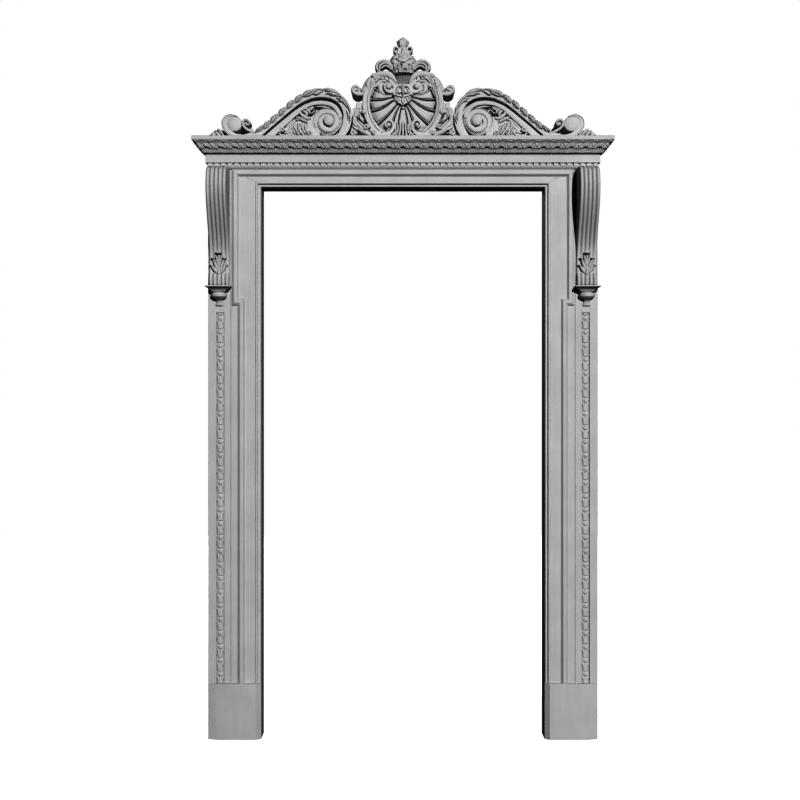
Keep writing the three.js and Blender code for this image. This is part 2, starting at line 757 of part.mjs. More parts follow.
// Shell in a ring, with volutes over it and leaves at both sides. The free forms keep their proportions: they
// are given as shares of the ring's radius from the ring's centre.
function shellCartouche() {
  const base = pedimentBase;
  const unit = cartouche.radius;
  const centre = { x: 0, z: base + cartouche.z };
  const hinge = { x: 0, z: centre.z + shellHinge };
  const inner = unit - ringWidth;
  const plate = boss(centre, unit - ringWidth * 0.1, 0, cartoucheWebDepth, 16);
  const ring = ribbon(
    through(spiral(centre, unit - ringWidth / 2, unit - ringWidth / 2, 118, 422, 24)),
    [ringWidth, ringWidth],
    18,
    0,
    ringDepth,
    ringDepth - 10,
  );
  const leans = [-1, 1].flatMap((side) => (
    spread(0, sideRibCount - 1, sideRibCount - 1).map((k) => side * (firstRibLean + k * ribPitch))
  ));
  const ribs = [0, ...leans].map((lean) => {
    const angle = THREE.MathUtils.degToRad(lean - 90);
    const along = [Math.cos(angle), Math.sin(angle)];
    const across = (hinge.z - centre.z) * Math.sin(angle);
    const reach = -across + Math.sqrt(across ** 2 + inner ** 2 - (hinge.z - centre.z) ** 2) - ringWidth * 0.12;
    const section = (share, foot, crown) => {
      const half = Math.tan(THREE.MathUtils.degToRad(ribPitch / 2)) * reach * share * 0.94;
      const place = (w, out) => at(
        hinge.x + along[0] * reach * share - along[1] * w,
        out,
        hinge.z + along[1] * reach * share + along[0] * w,
      );
      return [place(-half, foot), place(-half * 0.4, crown), place(half * 0.4, crown), place(half, foot)];
    };
    const foot = cartoucheWebDepth - 4;
    return skin([section(0.12, foot, foot + 20), section(0.6, foot, foot + 30), section(1, foot, foot + 22)]);
  });
  const seat = board([
    [-finialSeat.width / 2, hinge.z - 20],
    [finialSeat.width / 2, hinge.z - 20],
    [finialSeat.width / 2, base + finialSeat.z],
    [-finialSeat.width / 2, base + finialSeat.z],
  ], 10, ringDepth - 10);
  const calyx = [-50, 0, 50].map((lean) => (
    leaf({ x: 0, z: hinge.z + unit * 0.15 }, unit * 0.43, unit * 0.16, lean - 90, cartoucheWebDepth, ringDepth + 8)
  ));
  const half = (side) => {
    const traced = (points) => points.map(([u, w]) => [side * u * unit, centre.z + w * unit]);
    const round = (u, w) => ({ x: side * u * unit, z: centre.z + w * unit });
    const circle = ([u, w, radius, out]) => spread(0, 2 * Math.PI, 8).slice(1).map((angle) => (
      at(side * unit * (u + radius * Math.cos(angle)), out, centre.z + unit * (w + radius * Math.sin(angle)))
    ));
    const shoulder = ribbon(
      through(traced([[0.96, 0.26], [0.87, 0.47], [0.7, 0.63], [0.5, 0.7], [0.31, 0.62], [0.2, 0.48]])),
      [unit * 0.21, unit * 0.14],
      7,
      0,
      ringDepth + 2,
      ringDepth - 10,
    );
    const hook = ribbon(
      through(traced([[0.85, 0.2], [1, 0.23], [1.12, 0.2], [1.24, 0.28], [1.24, 0.4], [1.14, 0.42], [1.08, 0.36]])),
      [unit * 0.11, unit * 0.08],
      8,
      0,
      ringDepth - 6,
      ringDepth - 10,
    );
    const roll = skin([[1.1, 0.25, 0.17, 0], [1.1, 0.25, 0.17, ringDepth * 0.4], [1.14, 0.33, 0.11, ringDepth * 0.9]]
      .map(circle));
    const sideLeaves = [[1.07, -0.83, 0.38, 0.24, 60], [1.01, -0.57, 0.38, 0.22, 30], [0.92, -0.81, 0.49, 0.22, 100]]
      .map(([u, w, length, width, angle]) => leaf(
        round(u, w),
        length * unit,
        width * unit,
        side > 0 ? angle : 180 - angle,
        10,
        ringDepth - 6,
      ));
    const flank = board(
      traced([[0.73, -0.86], [1.25, -0.86], [1.22, -0.63], [1.15, -0.3], [0.9, -0.3], [0.79, -0.51]]),
      0,
      cartoucheWebDepth,
    );
    const stub = board(
      traced([[0.92, -0.32], [1.18, -0.32], [1.18, 0.05], [0.92, 0.05]]),
      0,
      cartoucheWebDepth + 8,
    );
    const topCentre = { x: side * topVolute.x, z: base + topVolute.z };
    const topScroll = boss(topCentre, topVolute.radius, cartoucheWebDepth - 10, ringDepth + 4, 12);
    const lowScroll = boss(round(0.34, -0.54), unit * 0.11, cartoucheWebDepth - 10, ringDepth + 2, 8);
    return [shoulder, hook, roll, ...sideLeaves, flank, stub, topScroll, lowScroll];
  };
  const footLeaf = [-36, 0, 36].map((lean) => (
    leaf(
      { x: 0, z: centre.z - unit * 0.86 },
      unit * 0.47,
      unit * 0.2,
      90 + lean,
      cartoucheWebDepth - 6,
      ringDepth + 4,
    )
  ));
  const far = 3 * cartoucheReach;
  const sawn = board([
    [-far, 0],
    [far, 0],
    [far, centre.z],
    [cartoucheReach, centre.z],
    [cartoucheReach, base],
    [-cartoucheReach, base],
    [-cartoucheReach, centre.z],
    [-far, centre.z],
  ], -1, 2 * ringDepth);
  const rim = finialBasketDiameter / 2 + 4;
  const neck = [[finialSeat.width / 2 + 1, finialSeat.z], [rim, finialSeat.z + finialNeckHeight], [rim, shoulderTop],
    [far, shoulderTop], [far, 2 * shoulderTop]].map(([x, z]) => [x, base + z]);
  const above = board([...neck, ...neck.map(([x, z]) => [-x, z]).reverse()], -1, 2 * ringDepth);
  const parts = [plate, ring, ...ribs, seat, ...calyx, ...half(-1), ...half(1), ...footLeaf];
  return joined(parts).subtract(sawn).subtract(above).simplify(carvingTolerance);
}

// Neck, basket, leafy dome, collar and bud on one axis, with a plume at each side
function finial() {
  const foot = pedimentBase + finialSeat.z + seam;
  const radius = finialBasketDiameter / 2;
  const levels = [
    [finialNeckHeight, radius * 0.42, radius * 0.68],
    [finialBasketHeight, radius * 0.8, radius],
    [finialDomeHeight, radius * 0.92, radius * 0.42],
    [finialCollarHeight, radius * 0.5, radius * 0.34],
    [finialBudHeight * 0.45, radius * 0.3, radius * 0.5],
    [finialBudHeight * 0.55, radius * 0.5, 0],
  ];
  const profile = [[0, foot]];
  let z = foot;
  levels.forEach(([height, low, high]) => {
    profile.push([low, z]);
    z += height;
    profile.push([high, z]);
  });
  const turned = new THREE.LatheGeometry(profile.map(([r, height]) => new THREE.Vector2(r, height)), 10);
  turned.rotateX(Math.PI / 2);
  turned.scale(1, finialFlatten, 1);
  turned.translate(0, -finialStandOff, 0);
  const spring = foot + finialNeckHeight + finialBasketHeight * 0.35;
  const bend = [[0.55, 0.15], [1.05, 0.47], [1.53, 0.62], [1.84, 0.47], [1.78, 0.22], [1.56, 0.18]];
  const plumes = [-1, 1].map((side) => ribbon(
    through(bend.map(([u, w]) => [side * u * radius, spring + w * radius])),
    [radius * 0.44, radius * 0.3],
    8,
    finialStandOff - radius * 0.4,
    finialStandOff + radius * 0.4,
    finialStandOff + radius * 0.22,
  ));
  const knobs = [-1, 1].map((side) => boss(
    {
      x: side * radius * 0.55,
      z: foot + finialNeckHeight + finialBasketHeight + finialDomeHeight + finialCollarHeight * 0.4,
    },
    radius * 0.2,
    finialStandOff - radius * 0.25,
    finialStandOff + radius * 0.25,
    8,
  ));
  const reach = 3 * radius;
  const over = pedimentBase + shoulderTop + seam;
  const shoulders = board([[-reach, foot - 1], [reach, foot - 1], [reach, over], [-reach, over]], -1, 3 * finialStandOff);
  return joined([...plumes, ...knobs]).subtract(shoulders).add(toSolid(turned));
}

addPair('plinth', plinth());
addPair('pilaster', pilaster());
addPair('architrave', jamb());
addPiece('architrave_head', head());
addPair('console', bracket());
addPair('console_drop', drop());
addPiece('dentil_course', dentilCourse());
addPiece('frieze_board', frieze());
addPiece('cornice', crown());
addPair('pediment_scroll', scroll());
addPiece('cartouche', shellCartouche());
addPiece('crown_finial', finial());

// The origin lies on the back of the head, half way up it
surround.position.z = -(openingHeight + headTop) / 2;
surround.updateMatrixWorld(true);

export default surround;
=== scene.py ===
# %% [markdown]
# # Carved door surround
# A doorway's whole dress in carved and painted hardwood: plinths, husk pilasters, an eared architrave, reeded
# consoles, a dentilled entablature and a scroll pediment with a shell cartouche and a finial. The frame holds
# the plain solids at their real size and place. This lesson lays the fine surface over them, piece by piece.

import math

import bpy
import numpy as np
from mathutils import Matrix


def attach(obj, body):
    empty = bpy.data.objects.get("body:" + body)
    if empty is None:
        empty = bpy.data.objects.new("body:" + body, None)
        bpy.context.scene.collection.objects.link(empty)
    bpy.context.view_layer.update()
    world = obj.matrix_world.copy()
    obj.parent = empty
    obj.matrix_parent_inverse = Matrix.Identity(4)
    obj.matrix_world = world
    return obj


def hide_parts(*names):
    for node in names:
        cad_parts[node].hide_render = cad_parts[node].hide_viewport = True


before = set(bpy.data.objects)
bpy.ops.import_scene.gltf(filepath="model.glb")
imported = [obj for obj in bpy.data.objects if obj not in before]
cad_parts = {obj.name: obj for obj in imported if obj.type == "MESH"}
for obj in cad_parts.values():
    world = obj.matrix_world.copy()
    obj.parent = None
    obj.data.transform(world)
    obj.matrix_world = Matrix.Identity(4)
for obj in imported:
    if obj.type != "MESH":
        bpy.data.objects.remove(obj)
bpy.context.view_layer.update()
print("frame nodes:", len(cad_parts))

# %% [markdown]
# ## A joiner's coordinates
# A joiner measures a surround along the wall, out from the wall and up from the floor, in millimetres. Every
# shape below is drawn that way, and one function turns those three numbers into the frame's metres, where Y
# runs into the wall and the origin lies on the back of the head.

# %% Sizes in millimetres
floor_level = -2243.75
seam = 0.3
half_opening = 567
opening_height = 2208
board = 105
jamb_edge = 688.7
head_top = 2279.5
pilaster_inner = 689.0
pilaster_outer = 778.8
pilaster_axis = 733.9
plinth_top = 224.5
console_foot = 1811.5
band_top = 1707.2
course_foot = 2279.8
frieze_foot = 2303.3
cornice_foot = 2340.6
pediment_foot = 2403.2


def place(x, out, z):
    """Points in the frame's metres from millimetres: (x, -out, z + floor level) / 1000."""
    x, out, z = np.broadcast_arrays(x, out, z)
    return np.stack([x, -out, z + floor_level], axis=-1) / 1000


# %% [markdown]
# ## One way to close a shape
# Nearly every carved form here is a skin over a row of rings, as a boat's planking goes over its ribs. The
# rings are one array of points, rows by columns. Each ring is closed on itself and a fan of triangles closes
# both ends, so that every form is watertight. Its volume's sign tells whether the faces point outwards.

# %% Skins over rings
def skin(rings):
    """A closed shell over rings[row, column]: quads from ring to ring and a fan over both ends."""
    rows, columns = rings.shape[:2]
    points = np.concatenate([rings.reshape(-1, 3), rings[:1].mean(axis=1), rings[-1:].mean(axis=1)])
    row, column = np.meshgrid(np.arange(rows - 1), np.arange(columns), indexing="ij")
    after = (column + 1) % columns
    a, b = row * columns + column, row * columns + after
    quads = np.stack([a, b, b + columns, a + columns], axis=-1).reshape(-1, 4)
    around = np.arange(columns)
    following = (around + 1) % columns
    last = (rows - 1) * columns
    start_fan = np.stack([following, around, np.full(columns, rows * columns)], axis=-1)
    end_fan = np.stack([last + around, last + following, np.full(columns, rows * columns + 1)], axis=-1)
    triangles = np.concatenate([start_fan, end_fan])
    corners = np.concatenate([triangles, quads[:, [0, 1, 2]], quads[:, [0, 2, 3]]])
    p, q, r = (points[corners[:, k]] for k in range(3))
    if np.einsum("ij,ij->i", p, np.cross(q, r)).sum() < 0:
        quads, triangles = quads[:, ::-1], triangles[:, ::-1]
    return points, quads, triangles


def mirrored(shells):
    """The same shells on the other side of the centreline, with their faces turned outwards again."""
    flip = np.array([-1, 1, 1])
    return [(points * flip, quads[:, ::-1], triangles[:, ::-1]) for points, quads, triangles in shells]


made = []


def piece(name, shells, *nodes, smooth=34):
    """One object from many shells; it stands for its CAD nodes and rides on the one body of the surround."""
    start = np.cumsum([0] + [len(points) for points, _, _ in shells])
    points = np.concatenate([shell[0] for shell in shells])
    quads = np.concatenate([shell[1] + s for shell, s in zip(shells, start)])
    triangles = np.concatenate([shell[2] + s for shell, s in zip(shells, start)])
    corners = np.concatenate([quads.ravel(), triangles.ravel()])
    sides = np.concatenate([np.full(len(quads), 4), np.full(len(triangles), 3)])
    mesh = bpy.data.meshes.new(name)
    mesh.vertices.add(len(points))
    mesh.vertices.foreach_set("co", points.astype(np.float32).ravel())
    mesh.loops.add(len(corners))
    mesh.loops.foreach_set("vertex_index", corners.astype(np.int32))
    mesh.polygons.add(len(sides))
    mesh.polygons.foreach_set("loop_start", (np.cumsum(sides) - sides).astype(np.int32))
    mesh.update(calc_edges=True)
    mesh.validate()
    mesh.shade_smooth()
    mesh.set_sharp_from_angle(angle=math.radians(smooth))
    obj = bpy.data.objects.new(name, mesh)
    bpy.context.collection.objects.link(obj)
    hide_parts(*nodes)
    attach(obj, "root")
    made.append(obj)
    print(name, "triangles:", 2 * len(quads) + len(triangles))


def pair(name, shells, smooth=34):
    """The right-hand piece as drawn and its mirror image on the left."""
    piece(f"carved_{name}_right", shells, f"{name}_right", smooth=smooth)
    piece(f"carved_{name}_left", mirrored(shells), f"{name}_left", smooth=smooth)


# %% [markdown]
# ## Grey paint on hardwood
# The surround is finished in a matte grey oil paint over closed-grain hardwood. From the doorway it reads as
# one colour, but close by the brush leaves fine streaks along the boards, the tone clouds a little from coat
# to coat and the sheen is uneven. Noise on Object coordinates gives all three, at millimetre scale, so that
# nothing depends on a piece's own layout of faces.

# %% The paint
paint_tone = 0.42
streak_tone = 0.965


def grey_paint(name, streak):
    """Matte paint: cloudy tone, brush streaks stretched by `streak` along each axis, and an uneven sheen."""
    material = bpy.data.materials.new(name)
    material.use_nodes = True
    nodes, links = material.node_tree.nodes, material.node_tree.links
    shader = nodes["Principled BSDF"]
    where = nodes.new("ShaderNodeTexCoord")

    def noise(scale, detail, stretch=(1, 1, 1)):
        mapping = nodes.new("ShaderNodeMapping")
        mapping.inputs["Scale"].default_value = stretch
        links.new(where.outputs["Object"], mapping.inputs["Vector"])
        texture = nodes.new("ShaderNodeTexNoise")
        texture.inputs["Scale"].default_value = scale
        texture.inputs["Detail"].default_value = detail
        links.new(mapping.outputs["Vector"], texture.inputs["Vector"])
        return texture.outputs["Fac"]

    def ramp(factor, low, high):
        node = nodes.new("ShaderNodeValToRGB")
        node.color_ramp.elements[0].color = (*low, 1)
        node.color_ramp.elements[1].color = (*high, 1)
        node.color_ramp.elements[0].position = 0.3
        node.color_ramp.elements[1].position = 0.7
        links.new(factor, node.inputs["Fac"])
        return node.outputs["Color"]

    clouds = ramp(noise(9, 4), [paint_tone * 0.96] * 3, [paint_tone * 1.03] * 3)
    streaks = ramp(noise(150, 3, streak), [streak_tone] * 3, [1] * 3)
    blend = nodes.new("ShaderNodeMix")
    blend.data_type = "RGBA"
    blend.blend_type = "MULTIPLY"
    blend.inputs["Factor"].default_value = 1
    links.new(clouds, blend.inputs["A"])
    links.new(streaks, blend.inputs["B"])
    links.new(blend.outputs["Result"], shader.inputs["Base Color"])
    sheen = nodes.new("ShaderNodeMapRange")
    sheen.inputs["To Min"].default_value = 0.62
    sheen.inputs["To Max"].default_value = 0.78
    links.new(noise(24, 3), sheen.inputs["Value"])
    links.new(sheen.outputs["Result"], shader.inputs["Roughness"])
    shader.inputs["Specular IOR Level"].default_value = 0.3
    bump = nodes.new("ShaderNodeBump")
    bump.inputs["Strength"].default_value = 0.12
    bump.inputs["Distance"].default_value = 0.0004
    links.new(noise(420, 4, streak), bump.inputs["Height"])
    links.new(bump.outputs["Normal"], shader.inputs["Normal"])
    return material


paint_upright = grey_paint("grey_paint_upright", (1, 1, 0.05))
paint_level = grey_paint("grey_paint_level", (0.05, 1, 1))
paint_carved = grey_paint("grey_paint_carved", (1, 1, 1))
print("paints:", paint_upright.name, paint_level.name, paint_carved.name)

# %% [markdown]
# ## Camera first
# The picture is taken square on from about five and a half metres, a little left of the middle and at chest
# height, with a normal lens. Setting the camera before the pieces means that every trial render can be laid
# beside the photograph.

# %% Camera
camera_data = bpy.data.cameras.new("camera")
camera_data.lens = 60.75
camera_data.sensor_width = 36
camera_data.sensor_fit = "HORIZONTAL"
camera = bpy.data.objects.new("camera", camera_data)
camera.location = (-0.0117, -5.505, -0.88635)
camera.rotation_euler = (math.radians(90), 0, 0)
bpy.context.collection.objects.link(camera)
bpy.context.scene.camera = camera
bpy.context.scene.view_settings.view_transform = "Raw"
print("camera stands at", tuple(round(value, 3) for value in camera.location))

# %% [markdown]
# ## Profiles and paths
# Plain mouldings are one section carried along a path. The section is drawn as it would be on the joiner's
# drawing, and at each corner of the path it is cut on the mitre.

# %% Mouldings on a mitred path
def arc(u, w, radius_u, radius_w, start, end, steps=6):
    """Points on an oval about (u, w), from one angle to another in degrees."""
    angle = np.radians(np.linspace(start, end, steps + 1))
    return np.stack([u + radius_u * np.cos(angle), w + radius_w * np.sin(angle)], axis=-1)


def moulding(path, section):
    """A section of (right of the path, out) carried along (x, z) corners, cut on the mitre."""
    path, section = np.asarray(path, float), np.asarray(section, float)
    step = np.diff(path, axis=0)
    step /= np.linalg.norm(step, axis=1, keepdims=True)
    before, after = np.vstack([step[:1], step]), np.vstack([step, step[-1:]])
    mitre = (before + after) / (1 + (before * after).sum(axis=1))[:, None]
    right, out = section[:, 0], section[:, 1]
    return skin(place(
        path[:, :1] + mitre[:, 1:] * right,
        out[None, :],
        path[:, 1:] - mitre[:, :1] * right,
    ))


def upright(section, low, high):
    """A section of (x, out) between two heights, which may each be a row with one height for every point."""
    section = np.asarray(section, float)
    heights = np.stack([np.broadcast_to(np.asarray(level, float), len(section)) for level in (low, high)])
    return skin(place(section[:, 0], section[:, 1], heights))


def level(section, left, right):
    """A section of (out, z) between two places along the wall, each one number or one for every point."""
    section = np.asarray(section, float)
    ends = np.stack([np.broadcast_to(np.asarray(end, float), len(section)) for end in (left, right)])
    return skin(place(ends, section[:, 0], section[:, 1]))


# %% [markdown]
# ## Plinths
# A plinth is one block under the jamb and the pilaster, which stands on the floor and takes the knocks. Its
# outer corner is planed to a wide shallow bevel and its inner one to a steeper bevel, and the top arris is just
# softened with sandpaper.

# %% Plinths
plinth_front = 116
arris = 1 / 60


def plinth():
    """A block whose plan has two bevels; its top ring is drawn in by a millimetre for the softened arris."""
    plan = np.array([
        [half_opening, 0],
        [half_opening, 101],
        [half_opening + 19.6, plinth_front],
        [pilaster_outer - 43, plinth_front],
        [pilaster_outer, 104.5],
        [pilaster_outer, 0],
    ])
    middle = plan.mean(axis=0)
    softened = middle + (plan - middle) * (1 - arris)
    softened[:, 1] = np.minimum(plan[:, 1], np.maximum(softened[:, 1], 0) * (plan[:, 1] > 0))
    levels = [(softened, 0), (plan, 1), (plan, plinth_top - 1), (softened, plinth_top)]
    return skin(np.stack([place(shape[:, 0], shape[:, 1], z) for shape, z in levels]))


pair("plinth", [plinth()])

# %% [markdown]
# ## Pilasters and their string of husks
# The outer boards carry a narrow sunk band, and a string of carved husks hangs in it: each has a round cap, a
# bell that narrows downwards and a pair of petals between them. A carver steps the husks off with dividers,
# so the relief is worked out for one pitch, as the highest of a few smooth forms, and repeated.

# %% Pilasters
band_half = 15.75
band_axis = pilaster_axis - 3
band_floor = 96
husk_pitch = 54.8


def husk_relief(x, down):
    """Height over the band's floor, `down` mm under a cap's top: the highest of its forms."""
    rho = np.sqrt((x / 11) ** 2 + ((down - 10.8) / 10.9) ** 2)
    cap = 8.4 * np.clip(1 - rho ** 2, 0, 1) ** 0.5 - 1.2 * np.exp(-((rho - 0.68) / 0.1) ** 2)
    half = 11 - 5.5 * np.clip((down - 23) / 30, 0, 1)
    ends = np.clip((down - 21) / 3, 0, 1) * np.clip((husk_pitch - down) / 3, 0, 1)
    bell = 7.5 * np.clip(1 - np.abs(x / half) ** 3, 0, 1) ** 0.5 * ends
    bell = bell - 1.4 * np.exp(-((np.abs(x) - 3.4) / 1.3) ** 2)
    petal = 8.6 * np.exp(-((np.abs(x) - 9.6) / 3) ** 2 - ((down - 28) / 4.5) ** 2)
    side = 6.8 * np.clip((15.2 - np.abs(x)) / (15.2 - half), 0, 1) * ends
    skirt = 3 * np.clip((15.4 - np.abs(x)) / 5.5, 0, 1) * (1 - ends)
    return np.maximum.reduce([cap, bell, petal, side, skirt, 0.2 + 0 * cap])


def husks(foot):
    """One strip up the whole band: out = floor + relief(x, distance under the nearest cap)."""
    z = np.arange(foot, band_top, 2.4)[:, None]
    x = np.linspace(-band_half + 0.2, band_half - 0.2, 33)[None, :]
    down = np.mod(band_top - 13 - z, husk_pitch)
    out = band_floor + husk_relief(x, down)
    front = place(band_axis + x, out, z)
    back = place(band_axis + x[:, [-1, 0]], band_floor - 2, z)
    return skin(np.concatenate([front, back], axis=1))


def pilaster():
    """The board as four strips around the sunk band, the band's floor and the string of husks."""
    foot = plinth_top + seam
    inner, outer = band_axis - band_half, band_axis + band_half
    side_inner = [[pilaster_inner, 0], [pilaster_inner, board - 1.5], [pilaster_inner + 1.5, board],
                  [inner - 0.6, board], [inner, board - 0.6], [inner, 0]]
    side_outer = [[outer, 0], [outer, board - 0.6], [outer + 0.6, board], [pilaster_outer - 0.8, board],
                  [pilaster_outer, board - 0.8], [pilaster_outer, 0]]
    above = [[inner, 0], [inner, board], [outer, board], [outer, 0]]
    floor = [[inner, 0], [inner, band_floor], [outer, band_floor], [outer, 0]]
    return [upright(side_inner, foot, head_top), upright(side_outer, foot, head_top),
            upright(above, band_top, head_top), upright(floor, foot, band_top), husks(foot)]


pair("pilaster", pilaster())

# %% [markdown]
# ## The eared architrave
# Beside the opening run a quarter round, a fillet and a bead, planed on the edge of the board. Outside them
# lies a flat, and then the backband, which is planted on: an ogee up to a flat, with a bevel outside, that
# steps out round the ear. Jamb and head meet on one mitre, whose line bends where the two flats have different
# widths, so each point of the section ends at its own height.

# %% Architrave
quarter_round = arc(6, 87, 6, 12, 180, 90)
bead = arc(18.25, 105, 5.25, 4, 180, 0, 8)
inner_mouldings = np.vstack([quarter_round, [[13, 99]], bead, [[23.5, 105]]])
ogee = np.stack([np.linspace(0, 12, 9), 105 + 5.5 * (1 - np.cos(np.linspace(0, np.pi, 9)))], axis=-1)
backband = np.vstack([[[0, 85]], ogee, [[19.6, 116], [20.6, 115.8], [21.4, 115.3], [29.2, 109.4], [30, 108.4],
                      [30, 85]]])
mitre_from_opening = [0, 23.5, 87, 117]
mitre_heights = [opening_height, opening_height + 23.5, opening_height + 41.5, head_top]


def jamb():
    """The board with its mouldings ends on the mitre line; the backband follows the ear's three turns."""
    foot = plinth_top + seam
    flank = np.vstack([[[0, 0]], inner_mouldings, [[jamb_edge - half_opening - 1.5, board]],
                       [[jamb_edge - half_opening, board - 1.5]], [[jamb_edge - half_opening, 0]]])
    top = np.interp(flank[:, 0], mitre_from_opening, mitre_heights) - seam
    section = flank + [half_opening, 0]
    line = half_opening + 63
    ear = line + 24
    turn = opening_height - 442.5
    mitre_end = np.interp(backband[:, 0], [0, 30], [opening_height + 41.5, head_top]) - seam
    low = moulding([[line, foot], [line, turn], [ear, turn], [ear, head_top - 100]], backband)
    high = upright(backband + [ear, 0], head_top - 100, mitre_end)
    return [upright(section, foot, top), low, high]


def head():
    """The head's board and backband between the two mitres."""
    flank = np.vstack([[[0, 0]], inner_mouldings, [[71.5, board]], [[71.5, 0]]])
    reach = half_opening + np.interp(flank[:, 0], [0, 23.5, 41.5, 71.5], mitre_from_opening)
    section = np.stack([flank[:, 1], opening_height + flank[:, 0]], axis=-1)
    band_reach = half_opening + np.interp(backband[:, 0], [0, 30], [87, 117])
    band_section = np.stack([backband[:, 1], opening_height + 41.5 + backband[:, 0]], axis=-1)
    return [level(section, -reach, reach), level(band_section, -band_reach, band_reach)]


pair("architrave", jamb())
piece("carved_architrave_head", head(), "architrave_head")

# %% [markdown]
# ## Entablature
# Each course runs along the front and returns to the wall at both ends. The path is therefore the same for
# all: from the wall on the left, round two corners, back to the wall on the right. A carved course is a grid
# of that path by its section, with a relief added to how far out each point stands.

# %% Courses that return to the wall
course_depth = 118


def returned(section, half, foot):
    """Section of (offset, z) round three sides: a ring at the wall, at each corner and at the wall again."""
    section = np.asarray(section, float)
    offset, z = section[:, 0], section[:, 1] + foot
    return skin(np.stack([
        place(-half - offset, 0, z),
        place(-half - offset, half_depth(half) + offset, z),
        place(half + offset, half_depth(half) + offset, z),
        place(half + offset, 0, z),
    ]))


def core(low, height):
    """The solid board behind a course's front, which fills it as far as the wall."""
    section = np.array([[0, 0], [100, 0], [100, height], [0, height]]) + [0, low]
    return level(section, -pilaster_outer + 10, pilaster_outer - 10)


def half_depth(half):
    """How far the zero line of a course stands out: as far over the front as it is past the ends."""
    return course_depth + half - pilaster_outer


# %% Dentil course
dentil_pitch = 26.6
slot_width = 9
slot_depth = 8
teeth_face = 121
bed_height = 10.6
course_height = 23.2
tooth_foot = course_foot + bed_height
course_top = course_foot + course_height


def teeth():
    """Blocks with sanded arrises and splayed sides, one every pitch; plain ones at both ends."""
    length = 2 * pilaster_outer
    slots = round((length - dentil_pitch + slot_width) / dentil_pitch)
    pitch = (length + slot_width) / (slots + 1)
    width = pitch - slot_width
    root, front, splay = teeth_face - slot_depth, teeth_face, slot_width / 2 - 0.4
    shells = []
    for left in -pilaster_outer + pitch * np.arange(slots + 1):
        plan = np.array([
            [left - splay, root], [left, front - 0.7], [left + 0.7, front], [left + width - 0.7, front],
            [left + width, front - 0.7], [left + width + splay, root],
        ])
        plan[:, 0] = np.clip(plan[:, 0], -pilaster_outer, pilaster_outer)
        shells.append(upright(plan, tooth_foot, course_top))
    for near in teeth_face - pitch * np.arange(1, 5):
        low = max(near - width, 0)
        for side in (-1, 1):
            face, inside = side * pilaster_outer, side * (pilaster_outer - slot_depth - 1)
            shells.append(upright([[inside, low], [face, low], [face, near], [inside, near]], tooth_foot,
                course_top))
    return shells


bed = [[-20, 0], [-8, 0], [-7.2, 0.8], [0, 6.2], [0.4, 6.8], [0.4, 10.2], [0, 10.7], [-20, 10.7]]
rail_face = teeth_face - course_depth - slot_depth + 0.6
rail = [[-30, bed_height], [rail_face, bed_height], [rail_face, course_height], [-30, course_height]]
dentils = [returned(bed, pilaster_outer, course_foot), returned(rail, pilaster_outer, course_foot)] + teeth()
dentils.append(core(course_foot, course_height))
piece("carved_dentil_course", dentils, "dentil_course")

# %% Frieze board
fascia_height = 37
cavetto = arc(2.5, 22, 2.5, 10.6, 180, 90)
fascia = np.vstack([[[-30, 0], [-0.6, 0], [0, 0.6]], cavetto,
                    [[-6, 32.8], [-6, fascia_height], [-30, fascia_height]]])
fascia_shells = [returned(fascia, pilaster_outer + 8, frieze_foot), core(frieze_foot, fascia_height)]
piece("carved_frieze_board", fascia_shells, "frieze_board")

# %% [markdown]
# ## The carved cornice
# Over the frieze comes an ovolo with short groups of darts, then a band of leaves on the cyma, and a plain
# fillet on top. All of it repeats every 54 mm, so the relief is a sum of waves and pulses of the distance
# along the moulding, and each runs only over its own stretch of the section.

# %% Relief of the cornice
leaf_pitch = 54


def pulse(value, middle, reach, power=4):
    """A smooth bump of height one: exp(-((value - middle) / reach)^power)."""
    return np.exp(-((value - middle) / reach) ** power)


def cornice_relief(s, h):
    """Relief at distance s along the front and height h: darts, ovals, leaf band, lips, berries and hooks."""
    from_group = np.abs(np.mod(s / leaf_pitch, 1) - 0.5) * leaf_pitch
    darts = 3.4 * (from_group < 15.5) * np.clip(1.6 * np.cos(2 * np.pi * (from_group - 4) / 8), -0.3, 1)
    ovolo = darts * (pulse(h, 3.4, 1.9) + pulse(h, 10.2, 1.9))
    ovals = -10 * pulse(from_group, 27, 9.5, 6) * pulse(h, 17, 3.2, 6)
    lobe = 3 * np.cos(np.pi * from_group / 27) ** 2 * pulse(h, 27, 8)
    veins = 1.7 * np.cos(2 * np.pi * (from_group / 11 - (h - 21) / 20)) * pulse(h, 27, 6, 6)
    lip = 1.2 * pulse(from_group, 27, 7) * pulse(h, 23, 2.4, 2)
    berries = 7 * pulse(from_group, 0, 3.8, 2) * pulse(h, 39.5, 2.6, 2)
    hooks = 4 * pulse(from_group, 13, 3, 2) * pulse(h, 42, 2.2, 2)
    return ovolo + ovals + lobe + veins + lip + berries + hooks


